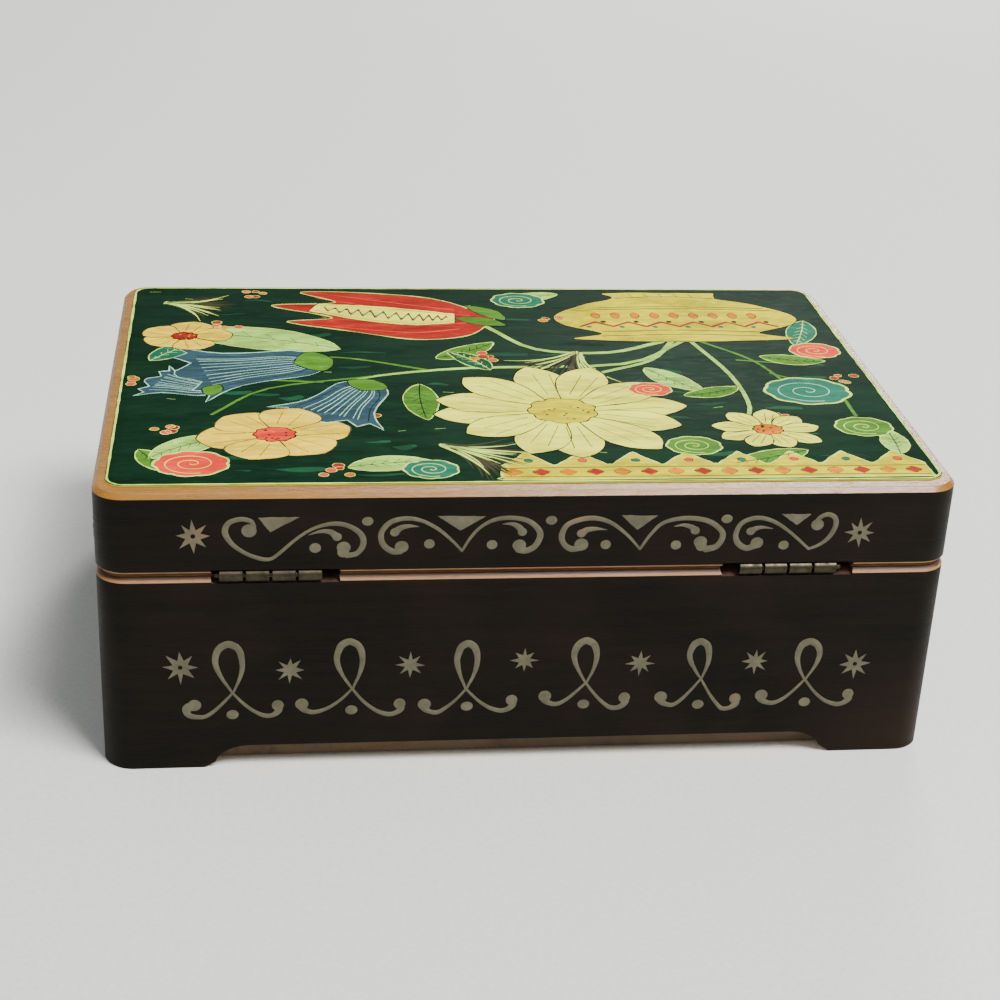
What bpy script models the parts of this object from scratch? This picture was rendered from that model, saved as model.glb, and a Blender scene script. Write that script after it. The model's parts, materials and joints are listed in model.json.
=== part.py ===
"""Wooden music box with a hinged lid and a spring-driven eighteen-note movement.

The sizes are in millimetres, and add() turns them into metres. +Z is up, the front of the box faces -Y,
the hinges are at +Y, and the origin is on the table under the middle of the box.
"""
import math

import bmesh
import bpy
from mathutils import Matrix, Vector

MM = 0.001
SEAT_GAP = 0.1
CLEAR = 0.3
ROUND_STEPS = 16

# Outside of the box
BOX_WIDTH = 146.0
BOX_DEPTH = 102.0
BODY_TOP = 37.05
SEAM_GAP = 0.3
LID_HEIGHT = 14.9
CORNER_RADIUS = 5.3
CORNER_STEPS = 6
SEAM_CHAMFER = 0.85
LID_EDGE_CHAMFER = 0.8

# Walls, feet and bottom
WALL = 6.0
MITRE_GAP = 0.2
RABBET_DEPTH = 3.0
PANEL_LIFT = 0.4
PANEL_THICKNESS = 4.0
FOOT_LENGTH = 19.0
ARCH_HEIGHT = 4.2
ARCH_COVE = 6.0
ARCH_STEPS = 6
WOOD_SCREW = {"head": 1.2, "height": 0.8, "shank": 0.7}
BOTTOM_SCREW_LENGTH = 9.0
BOTTOM_SCREW_SPACING = 45.0

# Lid
LID_PANEL_THICKNESS = 3.35
PICTURE_THICKNESS = 0.2
PICTURE_CORNER = 3.0
PICTURE_LEFT = 1.9
PICTURE_RIGHT = 2.1
PICTURE_FRONT = 1.7
PICTURE_BACK = 3.4

# Hinges, let in between the two rims
HINGE_SPACING = 88.0
HINGE_LENGTH = 17.0
HINGE_BARREL = 1.15
HINGE_PIN = 0.5
HINGE_PIN_END = 1.0
HINGE_INSET = 0.8
HINGE_LEAF = 0.6
HINGE_LEAF_DEPTH = 4.2
HINGE_KNUCKLES = 4
HINGE_NAIL = 0.4
HINGE_NAIL_SPACING = 10.0
HINGE_NAIL_LENGTH = 4.5
MORTISE_LENGTH = 23.0

# Compartments
MOVEMENT_ROOM = 59.0
PARTITION = 3.0
GLASS_THICKNESS = 2.0
GLASS_TOP = 33.0
LEDGE_WIDTH = 2.5
LEDGE_HEIGHT = 3.0
LINING = 1.5

# Bedplate of the movement, which reaches past the governor's foot on one side and under the comb on the other
BED_THICKNESS = 2.0
BED_PAST_FOOT = 0.784
BED_SOUTH = -28.5
BED_NORTH = 27.0
BED_CORNER = 2.0
BED_SCREW_LINE = 8.0
BED_SCREW_LENGTH = 4.9
MACHINE_SCREW = {"head": 1.6, "height": 0.9, "shank": 0.9}

# Cylinder and comb
DRUM_OFFSET = -1.0
DRUM_RADIUS = 6.5
DRUM_WALL = 0.8
DRUM_START = -2.8
DRUM_END = 17.0
DRUM_STEPS = 48
ARBOR = 0.8
BEARING_GAP = 0.25
POST_START = -4.6
POST_END = -3.2
POST_WIDTH = 6.0
POST_OVER = 2.6
COMB_TEETH = 18
COMB_TIP_GAP = 0.7
COMB_TOOTH_LENGTH = 10.0
COMB_BASE = 5.0
COMB_THICKNESS = 0.9
COMB_SLOT = 0.3
COMB_SCREW_SPACING = 11.0
COMB_SCREW_LENGTH = 5.0

# Gear train from the cylinder to the fan, whose lowest wheel runs TRAIN_LIFT over the bedplate
TRAIN_LIFT = 0.29
MODULE = 0.35
ADDENDUM = 0.26
DEDENDUM = 0.38
PRESSURE_ANGLE = 20.0
TOOTH_SHARE = 0.4
CYLINDER_TEETH = 36
FIRST_PINION_TEETH = 9
FIRST_WHEEL_TEETH = 30
SECOND_PINION_TEETH = 10
WORM_WHEEL_TEETH = 20
FIRST_DROP = 4.6
SECOND_RISE = 5.3
TRAIN_ARBOR = 0.6
GEAR_PLANE = 17.4
GEAR_WIDTH = 1.4
WHEEL_PLANE = 21.6
WHEEL_WIDTH = 1.0
WORM_WHEEL_PLANE = 23.2
WORM_WHEEL_WIDTH = 1.2
WORM_PITCH = 1.1
WORM_RADIUS = 1.05
WORM_RIDGE = 0.3
WORM_TURNS = 5
WORM_ROWS_PER_TURN = 8
WORM_CORE = 0.65

# Governor frame and fan
FRAME_SOUTH = 20.0
FRAME_NORTH = 26.6
FRAME_PLATE = 1.0
FRAME_FOOT = 1.5
FRAME_FOOT_LENGTH = 6.5
FRAME_SCREW_LENGTH = 3.2
FAN_RISE = 0.5
FAN_HEIGHT = 3.2
FAN_WIDTH = 9.0
FAN_THICKNESS = 0.4
FAN_HUB = 1.1
FAN_SHAFT = 0.5

# Mainspring barrel
BARREL_Y = -14.6
BARREL_RADIUS = 9.4
BARREL_WALL = 1.0
BARREL_LIFT = 0.9
BARREL_COVER = 1.0
CROWN_TEETH = 45
CROWN_RADIUS = 8.6
CROWN_FACE = 1.4
CROWN_TOOTH_SHARE = 0.34
CROWN_RING = 1.1
CYLINDER_PINION_TEETH = 9
MAINSPRING_TURNS = 5
MAINSPRING_THICKNESS = 0.3
WINDING_ARBOR = 1.5

# Bridge, ratchet and key
BRIDGE_THICKNESS = 1.0
BRIDGE_WIDTH = 6.0
BRIDGE_LEG = 4.0
BRIDGE_ROOM = 0.8
BRIDGE_SCREW_LENGTH = 12.0
RATCHET_TEETH = 16
RATCHET_RADIUS = 4.0
RATCHET_DEPTH = 0.7
RATCHET_THICKNESS = 1.0
CLICK_REACH = 7.4
CLICK_STUD = 0.9
CLICK_HEAD = 0.5
KEY_WING = 10.0
KEY_BAR = 2.4
KEY_HUB = 3.2
KEY_BOTTOM = 0.9
KEY_HEIGHT = 3.1
KEY_ROOM = 13.0

# Stop rod with its bracket and spring
STOP_Y = 31.5
STOP_ROD = 0.8
STOP_COLLAR = 1.9
STOP_COLLAR_HEIGHT = 0.8
STOP_FINGER = 1.0
STOP_FINGER_HUB = 1.6
STOP_FINGER_WIDTH = 1.4
BRACKET_WEB = 2.5
BRACKET_SHEET = 0.8
BRACKET_WIDTH = 5.0
BRACKET_FOOT = 6.0
BRACKET_LOWER_TAB = 4.6
BRACKET_UPPER_TAB = 14.7
BRACKET_TAB_REACH = 2.2
BRACKET_SCREW_LENGTH = 3.0
COIL_RADIUS = 1.4
COIL_WIRE = 0.2
COIL_TURNS = 4
COIL_POINTS = 10
COIL_LENGTH = 3.5
COIL_RING = 6

# Places worked out from the sizes
LID_BOTTOM = BODY_TOP + SEAM_GAP
LID_TOP = LID_BOTTOM + LID_HEIGHT
LID_CEILING = LID_TOP - LID_PANEL_THICKNESS
HINGE_Y = BOX_DEPTH / 2 - HINGE_INSET
HINGE_Z = BODY_TOP + SEAM_GAP / 2
HALF_ROOM = BOX_DEPTH / 2 - WALL
PANEL_TOP = PANEL_LIFT + PANEL_THICKNESS
FLOOR = PANEL_TOP + SEAT_GAP
BED_TOP = FLOOR + BED_THICKNESS
ROOM_LEFT = -BOX_WIDTH / 2 + WALL
ROOM_RIGHT = ROOM_LEFT + MOVEMENT_ROOM
ROOM_MIDDLE = (ROOM_LEFT + ROOM_RIGHT) / 2
GLASS_BOTTOM = GLASS_TOP - GLASS_THICKNESS
FIRST_Z = BED_TOP + MODULE * FIRST_WHEEL_TEETH / 2 + ADDENDUM + TRAIN_LIFT
AXIS_X = ROOM_MIDDLE + DRUM_OFFSET
AXIS_Z = FIRST_Z + FIRST_DROP
BARREL_BOTTOM = BED_TOP + BARREL_LIFT
CROWN_PITCH = 2 * math.pi * CROWN_RADIUS / CROWN_TEETH
PINION_RADIUS = CYLINDER_PINION_TEETH * CROWN_PITCH / (2 * math.pi)
CROWN_Z = AXIS_Z - PINION_RADIUS
CROWN_ROOT = CROWN_Z - DEDENDUM - SEAT_GAP
CROWN_BOTTOM = CROWN_ROOT - CROWN_RING
BARREL_RIM = CROWN_BOTTOM - SEAT_GAP
BRIDGE_BOTTOM = CROWN_Z + ADDENDUM + 2 * CLEAR
BRIDGE_TOP = BRIDGE_BOTTOM + BRIDGE_THICKNESS
RATCHET_BOTTOM = BRIDGE_TOP + CLEAR
COMB_TIP = AXIS_X + DRUM_RADIUS + COMB_TIP_GAP
COMB_ROOT = COMB_TIP + COMB_TOOTH_LENGTH
COMB_BACK = COMB_ROOT + COMB_BASE
COMB_MIDDLE = (DRUM_START + DRUM_END) / 2
FIRST_DISTANCE = MODULE * (CYLINDER_TEETH + FIRST_PINION_TEETH) / 2
FIRST_X = AXIS_X - math.sqrt(FIRST_DISTANCE**2 - FIRST_DROP**2)
SECOND_DISTANCE = MODULE * (FIRST_WHEEL_TEETH + SECOND_PINION_TEETH) / 2
SECOND_X = FIRST_X - math.sqrt(SECOND_DISTANCE**2 - SECOND_RISE**2)
SECOND_Z = FIRST_Z + SECOND_RISE
WORM_WHEEL_RADIUS = WORM_WHEEL_TEETH * WORM_PITCH / (2 * math.pi)
WORM_X = SECOND_X - WORM_WHEEL_RADIUS - WORM_RADIUS
WORM_Y = WORM_WHEEL_PLANE + WORM_WHEEL_WIDTH / 2
FRAME_WEST = WORM_X - WORM_RADIUS - 2.4
BED_LEFT = FRAME_WEST - FRAME_FOOT_LENGTH / 2 - BED_PAST_FOOT
BED_RIGHT = COMB_BACK + CLEAR
FRAME_CEILING = SECOND_Z + WORM_WHEEL_RADIUS + ADDENDUM + 0.45
FRAME_TOP = FRAME_CEILING + FRAME_PLATE
FAN_BOTTOM = FRAME_TOP + FAN_RISE
STOP_TOP = LID_CEILING + SEAT_GAP - CLEAR
STOP_BOTTOM = PANEL_TOP + 0.5
STOP_COLLAR_Z = FLOOR + BRACKET_LOWER_TAB + BRACKET_SHEET + COIL_LENGTH + 2 * (CLEAR + COIL_WIRE) - SEAT_GAP
FINGER_Z = FAN_BOTTOM + (FAN_HEIGHT - STOP_FINGER) / 2
FINGER_REACH = STOP_Y - WORM_Y - FAN_WIDTH / 2 - CLEAR

# Each moving body has an empty on its joint's axis, and its pieces are parented to that empty
PIVOTS = {
    "case": (0, 0, 0),
    "lid": (0, HINGE_Y, HINGE_Z),
    "key": (AXIS_X, BARREL_Y, KEY_BOTTOM),
    "barrel": (AXIS_X, BARREL_Y, BARREL_BOTTOM),
    "cylinder": (AXIS_X, DRUM_START, AXIS_Z),
    "first": (FIRST_X, WHEEL_PLANE, FIRST_Z),
    "second": (SECOND_X, WHEEL_PLANE, SECOND_Z),
    "fan": (WORM_X, WORM_Y, FAN_BOTTOM),
    "stop": (WORM_X, STOP_Y, STOP_COLLAR_Z),
}

# Base colour, roughness and metallic value of each material
FINISHES = {
    "stained_wood": ((0.020, 0.012, 0.009), 0.45, 0.0),
    "bare_wood": ((0.52, 0.32, 0.16), 0.55, 0.0),
    "picture": ((0.05, 0.13, 0.07), 0.35, 0.0),
    "hinge_brass": ((0.32, 0.27, 0.17), 0.35, 1.0),
    "steel": ((0.55, 0.55, 0.56), 0.30, 1.0),
    "brass": ((0.80, 0.60, 0.25), 0.28, 1.0),
    "gilt_casting": ((0.72, 0.56, 0.28), 0.40, 1.0),
    "glass": ((0.85, 0.92, 0.90), 0.05, 0.0),
    "felt": ((0.30, 0.03, 0.04), 0.95, 0.0),
}


def clear_scene():
    """Removes whatever the start-up file holds."""
    for old in list(bpy.data.objects):
        bpy.data.objects.remove(old)


def make_materials():
    made = {}
    for name, (colour, roughness, metallic) in FINISHES.items():
        material = bpy.data.materials.new(name)
        material.use_nodes = True
        surface = material.node_tree.nodes["Principled BSDF"]
        surface.inputs["Base Color"].default_value = (*colour, 1)
        surface.inputs["Roughness"].default_value = roughness
        surface.inputs["Metallic"].default_value = metallic
        made[name] = material
    return made


def make_pivots():
    made = {}
    for name, spot in PIVOTS.items():
        empty = bpy.data.objects.new(name + "_axis", None)
        empty.location = Vector(spot) * MM
        bpy.context.scene.collection.objects.link(empty)
        made[name] = empty
    return made


def add(name, shape, body="case", finish=None):
    """Makes an object of a shape in box millimetres, with its origin on its body's axis."""
    bmesh.ops.recalc_face_normals(shape, faces=shape.faces)
    shape.transform(Matrix.Scale(MM, 4) @ Matrix.Translation(-Vector(PIVOTS[body])))
    mesh = bpy.data.meshes.new(name)
    shape.to_mesh(mesh)
    shape.free()
    mesh.shade_smooth()
    mesh.set_sharp_from_angle(angle=math.radians(35))
    made = bpy.data.objects.new(name, mesh)
    made.parent = pivots[body]
    if finish:
        mesh.materials.append(materials[finish])
    bpy.context.scene.collection.objects.link(made)
    return made


def tool(name, shape):
    """A shape that only serves other pieces' Booleans."""
    made = add(name, shape)
    made.hide_render = True
    made.display_type = "WIRE"
    return made


def change(target, other, operation="DIFFERENCE"):
    """Cuts the other object out of the target, or joins it on."""
    step = target.modifiers.new(other.name, "BOOLEAN")
    step.operation = operation
    step.solver = "EXACT"
    step.object = other


def spot(a, b, height, axis):
    """The point that lies a and b across an axis and height along it."""
    if axis == "Z":
        return (a, b, height)
    if axis == "Y":
        return (a, height, b)
    return (height, a, b)


def plate(outlines, low, high, axis="Z", into=None):
    """A plate: the first outline filled, less the others, pushed from low to high along the axis."""
    shape = into or bmesh.new()
    edges = []
    for outline in outlines:
        corners = [shape.verts.new(spot(a, b, low, axis)) for a, b in outline]
        edges += [shape.edges.new((p, q)) for p, q in zip(corners, corners[1:] + corners[:1])]
    filled = bmesh.ops.triangle_fill(shape, use_beauty=True, use_dissolve=False, edges=edges)
    faces = [item for item in filled["geom"] if isinstance(item, bmesh.types.BMFace)]
    pushed = bmesh.ops.extrude_face_region(shape, geom=faces, use_keep_orig=True)
    moved = [item for item in pushed["geom"] if isinstance(item, bmesh.types.BMVert)]
    bmesh.ops.translate(shape, verts=moved, vec=Vector(spot(0, 0, high - low, axis)))
    return shape


def stack(layers):
    """A solid through outlines of equal length, each a height and its points, closed at both ends."""
    shape = bmesh.new()
    rings = [[shape.verts.new((x, y, z)) for x, y in outline] for z, outline in layers]
    for lower, upper in zip(rings, rings[1:]):
        for i in range(len(lower)):
            j = (i + 1) % len(lower)
            shape.faces.new((lower[i], lower[j], upper[j], upper[i]))
    shape.faces.new(rings[0][::-1])
    shape.faces.new(rings[-1])
    return shape


def turn(profile, centre, axis="Z", steps=ROUND_STEPS, into=None):
    """A round solid: a closed profile of radii and heights turned about an axis through the centre."""
    shape = into or bmesh.new()
    rings = []
    for radius, height in profile:
        if radius == 0:
            rings.append([shape.verts.new(spot(*centre, height, axis))] * steps)
        else:
            rings.append([shape.verts.new(spot(a, b, height, axis)) for a, b in circle(centre, radius, steps)])
    for lower, upper in zip(rings, rings[1:] + rings[:1]):
        for k in range(steps):
            n = (k + 1) % steps
            corners = list(dict.fromkeys((lower[k], lower[n], upper[n], upper[k])))
            if len(corners) > 2:
                shape.faces.new(corners)
    return shape


def rod(centre, low, high, radius, axis="Z", steps=ROUND_STEPS, into=None):
    return turn([(0, low), (radius, low), (radius, high), (0, high)], centre, axis, steps, into)


def ring(centre, low, high, inner, outer, axis="Z", steps=ROUND_STEPS, into=None):
    profile = [(inner, low), (outer, low), (outer, high), (inner, high)]
    return turn(profile, centre, axis, steps, into)


def block(x, y, z, into=None):
    """A box, given as a pair of ends along each axis."""
    return plate([[(x[0], y[0]), (x[1], y[0]), (x[1], y[1]), (x[0], y[1])]], *z, into=into)


def screws(name, finish, sizes, seat, length, way, places):
    """Screws along Z whose heads bear on the height seat, with shanks that point up or down: way is 1 or -1."""
    head, shank = sizes["head"], sizes["shank"]
    top, tip = seat - way * sizes["height"], seat + way * length
    profile = [(0, top), (head, top), (head, seat), (shank, seat), (shank, tip), (0, tip)]
    for number, centre in enumerate(places, 1):
        add(f"{name}_{number}", turn(profile, centre, steps=10), finish=finish)


def screw_holes(sizes, seat, length, way, places):
    """The room that screws() needs: a pocket for the head, open outwards, and a hole for the shank."""
    shape = bmesh.new()
    head, shank = sizes["head"] + SEAT_GAP, sizes["shank"] + SEAT_GAP
    top = seat - way * (sizes["height"] + 2)
    under, tip = seat + way * SEAT_GAP, seat + way * (length + CLEAR)
    for centre in places:
        profile = [(0, top), (head, top), (head, under), (shank, under), (shank, tip), (0, tip)]
        turn(profile, centre, steps=10, into=shape)
    return shape


def circle(centre, radius, steps=ROUND_STEPS):
    angles = [2 * math.pi * k / steps for k in range(steps)]
    return [(centre[0] + radius * math.cos(t), centre[1] + radius * math.sin(t)) for t in angles]


def arc(centre, radius, start, end, steps):
    """Points on an arc between two angles in degrees, both ends included."""
    angles = [math.radians(start + (end - start) * k / steps) for k in range(steps + 1)]
    return [(centre[0] + radius * math.cos(t), centre[1] + radius * math.sin(t)) for t in angles]


def rectangle(x, y, radius, steps=4):
    """A rectangle with round corners."""
    points = arc((x[1] - radius, y[1] - radius), radius, 0, 90, steps)
    points += arc((x[0] + radius, y[1] - radius), radius, 90, 180, steps)
    points += arc((x[0] + radius, y[0] + radius), radius, 180, 270, steps)
    return points + arc((x[1] - radius, y[0] + radius), radius, 270, 360, steps)


def side_outline(length, depth, inset, quarter_turns):
    """One mitred side of the round-cornered frame from above: the side towards +Y, turned about the middle.

    length is the frame's size along this side and depth its size across. inset draws the outer face in.
    """
    half, reach = length / 2, depth / 2
    radius = CORNER_RADIUS - inset
    start = 45 + math.degrees(math.asin(MITRE_GAP / 2 / radius))
    right = arc((half - CORNER_RADIUS, reach - CORNER_RADIUS), radius, start, 90, CORNER_STEPS)
    left = [(-x, y) for x, y in reversed(right)]
    inner_half = half - WALL - MITRE_GAP / math.sqrt(2)
    points = right + left + [(-inner_half, reach - WALL), (inner_half, reach - WALL)]
    for _ in range(quarter_turns):
        points = [(-y, x) for x, y in points]
    return points


def involute(angle):
    return math.tan(angle) - angle


def gear_outline(teeth, pitch_radius, centre=(0, 0), phase=0.0):
    """A wheel's teeth: root, pitch and tip points on both flanks, with a tooth's middle at the angle phase."""
    pressure = math.radians(PRESSURE_ANGLE)
    base = pitch_radius * math.cos(pressure)
    pitch_half = math.pi / teeth * TOOTH_SHARE + involute(pressure)
    flank = []
    for radius in (pitch_radius - DEDENDUM, pitch_radius, pitch_radius + ADDENDUM):
        flank.append((radius, pitch_half - involute(math.acos(min(1, base / radius)))))
    points = []
    for k in range(teeth):
        middle = phase + 2 * math.pi * k / teeth
        sides = [(radius, middle - half) for radius, half in flank]
        sides += [(radius, middle + half) for radius, half in reversed(flank)]
        points += [(centre[0] + r * math.cos(t), centre[1] + r * math.sin(t)) for r, t in sides]
    return points


def meshing_phase(teeth, phase, centre, other_teeth, other_centre):
    """The phase that puts the other wheel's tooth spaces round this wheel's teeth."""
    towards = math.atan2(other_centre[1] - centre[1], other_centre[0] - centre[0])
    part = (towards - phase) * teeth / (2 * math.pi)
    return towards + math.pi - (0.5 - part) * 2 * math.pi / other_teeth


# Case: four mitred walls with feet, and a rebate for the bottom panel
def case_wall(name, length, depth, quarter_turns):
    """A side of the case, chamfered at its rim and arched between its feet."""
    whole = side_outline(length, depth, 0, quarter_turns)
    drawn_in = side_outline(length, depth, SEAM_CHAMFER, quarter_turns)
    layers = [(0, whole), (BODY_TOP - SEAM_CHAMFER, whole), (BODY_TOP, drawn_in)]
    wall = add(name, stack(layers), finish="stained_wood")
    half = length / 2 - FOOT_LENGTH
    cove = [(half - ARCH_COVE + ARCH_COVE * x, ARCH_HEIGHT * z) for x, z in arc((0, 0), 1, 0, 90, ARCH_STEPS)]
    outline = [(half, -1)] + cove + [(-x, z) for x, z in reversed(cove)] + [(-half, -1)]
    way = 1 if quarter_turns in (0, 3) else -1
    ends = sorted((way * (depth / 2 - WALL - 1), way * (depth / 2 + 1)))
    arch = tool(name + "_arch", plate([outline], *ends, axis="X" if quarter_turns % 2 else "Y"))
    change(wall, arch)
    change(wall, rebate)
    return wall


def make_case():
    case_back = case_wall("case_back", BOX_WIDTH, BOX_DEPTH, 0)
    case_wall("case_left", BOX_DEPTH, BOX_WIDTH, 1)
    case_front = case_wall("case_front", BOX_WIDTH, BOX_DEPTH, 2)
    case_wall("case_right", BOX_DEPTH, BOX_WIDTH, 3)

    inset = WALL - RABBET_DEPTH + MITRE_GAP
    panel_x, panel_y = BOX_WIDTH / 2 - inset, BOX_DEPTH / 2 - inset
    outline = [(-panel_x, -panel_y), (panel_x, -panel_y), (panel_x, panel_y), (-panel_x, panel_y)]
    keyhole = circle((AXIS_X, BARREL_Y), KEY_ROOM, 32)
    bottom = add("bottom_panel", plate([outline, keyhole], PANEL_LIFT, PANEL_TOP), finish="bare_wood")

    line = BOX_DEPTH / 2 - WALL + 1.3
    places = [(x * BOTTOM_SCREW_SPACING, y * line) for x in (-1, 1) for y in (-1, 1)]
    seat = PANEL_LIFT + WOOD_SCREW["height"] + SEAT_GAP
    fit = (WOOD_SCREW, seat, BOTTOM_SCREW_LENGTH, 1, places)
    holes = tool("bottom_screw_holes", screw_holes(*fit))
    for piece in (bottom, case_back, case_front):
        change(piece, holes)
    screws("bottom_screw", "steel", *fit)
    return case_back, bottom


def make_compartments():
    wall = HALF_ROOM - SEAT_GAP
    right = (ROOM_RIGHT, ROOM_RIGHT + PARTITION)
    add("partition", block(right, (-wall, wall), (FLOOR, GLASS_TOP)), finish="bare_wood")

    ends = (ROOM_LEFT + SEAT_GAP, ROOM_RIGHT - SEAT_GAP)
    low, high = GLASS_BOTTOM - SEAT_GAP - LEDGE_HEIGHT, GLASS_BOTTOM - SEAT_GAP
    add("front_glass_ledge", block(ends, (-wall, LEDGE_WIDTH - wall), (low, high)), finish="bare_wood")
    add("back_glass_ledge", block(ends, (wall - LEDGE_WIDTH, wall), (low, high)), finish="bare_wood")

    outline = [(ends[0], -wall), (ends[1], -wall), (ends[1], wall), (ends[0], wall)]
    rod_hole = circle((WORM_X, STOP_Y), STOP_ROD + 2 * CLEAR)
    add("glass_cover", plate([outline, rod_hole], GLASS_BOTTOM, GLASS_TOP), finish="glass")

    left, far = ROOM_RIGHT + PARTITION + SEAT_GAP, BOX_WIDTH / 2 - WALL - SEAT_GAP
    lining = add("tray_lining", block((left, far), (-wall, wall), (FLOOR, GLASS_TOP)), finish="felt")
    room = block((left + LINING, far - LINING), (LINING - wall, wall - LINING), (FLOOR + LINING, GLASS_TOP + 1))
    change(lining, tool("tray_room", room))


# Lid: four mitred rails, a top panel and the picture on it
def make_lid():
    rails = {}
    for turns, name in enumerate(("lid_back", "lid_left", "lid_front", "lid_right")):
        length, depth = (BOX_DEPTH, BOX_WIDTH) if turns % 2 else (BOX_WIDTH, BOX_DEPTH)
        whole = side_outline(length, depth, 0, turns)
        drawn_in = side_outline(length, depth, SEAM_CHAMFER, turns)
        layers = [(LID_BOTTOM, drawn_in), (LID_BOTTOM + SEAM_CHAMFER, whole), (LID_CEILING, whole)]
        rails[name] = add(name, stack(layers), "lid", "stained_wood")

    half_x, half_y = BOX_WIDTH / 2, BOX_DEPTH / 2
    whole = rectangle((-half_x, half_x), (-half_y, half_y), CORNER_RADIUS, 12)
    edge = LID_EDGE_CHAMFER
    drawn_in = rectangle((edge - half_x, half_x - edge), (edge - half_y, half_y - edge), CORNER_RADIUS - edge, 12)
    layers = [(LID_CEILING + SEAT_GAP, whole), (LID_TOP - edge, whole), (LID_TOP, drawn_in)]
    add("lid_top_panel", stack(layers), "lid", "bare_wood")

    x = (PICTURE_LEFT - half_x, half_x - PICTURE_RIGHT)
    y = (PICTURE_FRONT - half_y, half_y - PICTURE_BACK)
    low = LID_TOP + SEAT_GAP / 2
    picture = plate([rectangle(x, y, PICTURE_CORNER, 5)], low, low + PICTURE_THICKNESS)
    add("lid_picture", picture, "lid", "picture")
    return rails["lid_back"]


# Hinges: a leaf with two knuckles on the case, a leaf with two on the lid, and a pin
def hinge_leaf(name, centre, body, own, low):
    """A leaf with its nails, and with knuckles at every other place from the +X end: own is the first, 0 or 1."""
    way = 1 if body == "lid" else -1
    step = HINGE_LENGTH / HINGE_KNUCKLES
    left, right = centre - HINGE_LENGTH / 2, centre + HINGE_LENGTH / 2
    notch = HINGE_Y - HINGE_BARREL - 1.5 * CLEAR
    outline = [(left, HINGE_Y - HINGE_LEAF_DEPTH), (right, HINGE_Y - HINGE_LEAF_DEPTH), (right, notch)]
    knuckles = bmesh.new()
    for k in range(own, HINGE_KNUCKLES, 2):
        far, near = right - k * step - CLEAR / 2, right - (k + 1) * step + CLEAR / 2
        tip = HINGE_Y - HINGE_PIN - 0.22
        outline += [(far, notch), (far, tip), (near, tip), (near, notch)]
        bore = HINGE_PIN + SEAT_GAP
        ring((HINGE_Y, HINGE_Z), near, far, bore, HINGE_BARREL, "X", into=knuckles)
    outline.append((left, notch))
    leaf = add(name, plate([outline], low, low + HINGE_LEAF), body, "hinge_brass")
    for place in nail_places(centre):
        rod(place, *sorted((low + HINGE_LEAF / 2, low + HINGE_LEAF / 2 + way * HINGE_NAIL_LENGTH)),
            HINGE_NAIL, steps=8, into=knuckles)
    change(leaf, tool(name + "_knuckles", knuckles), "UNION")


def nail_places(centre):
    line = HINGE_Y - HINGE_LEAF_DEPTH + 1.3
    return [(centre + way * HINGE_NAIL_SPACING / 2, line) for way in (-1, 1)]


def make_hinges(case_back, lid_back):
    low, high = BODY_TOP - HINGE_LEAF, LID_BOTTOM
    case_room, lid_room, barrel_room = bmesh.new(), bmesh.new(), bmesh.new()
    places = []
    for way, name in ((1, "left"), (-1, "right")):
        centre = way * HINGE_SPACING / 2
        hinge_leaf(name + "_hinge_case_leaf", centre, "case", 0, low)
        hinge_leaf(name + "_hinge_lid_leaf", centre, "lid", 1, high)
        ends = sorted((centre - way * HINGE_LENGTH / 2, centre + way * (HINGE_LENGTH / 2 + HINGE_PIN_END)))
        pin = rod((HINGE_Y, HINGE_Z), *ends, HINGE_PIN, "X")
        add(name + "_hinge_pin", pin, finish="hinge_brass")
        x = (centre - MORTISE_LENGTH / 2, centre + MORTISE_LENGTH / 2)
        y = (HALF_ROOM - 1, HINGE_Y)
        block(x, y, (low - SEAT_GAP, LID_BOTTOM + 2), into=case_room)
        block(x, y, (BODY_TOP - 2, high + HINGE_LEAF + SEAT_GAP), into=lid_room)
        rod((HINGE_Y, HINGE_Z), *x, HINGE_BARREL + CLEAR, "X", into=barrel_room)
        places += nail_places(centre)

    barrel_tool = tool("hinge_barrel_room", barrel_room)
    for wood, body, room, way in ((case_back, "case", case_room, -1), (lid_back, "lid", lid_room, 1)):
        change(wood, tool(body + "_mortises", room))
        change(wood, barrel_tool)
        reach = way * (HINGE_NAIL_LENGTH + HINGE_LEAF + CLEAR)
        holes = bmesh.new()
        for place in places:
            rod(place, *sorted((HINGE_Z, HINGE_Z + reach)), HINGE_NAIL + SEAT_GAP, steps=8, into=holes)
        change(wood, tool(body + "_nail_holes", holes))


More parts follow.
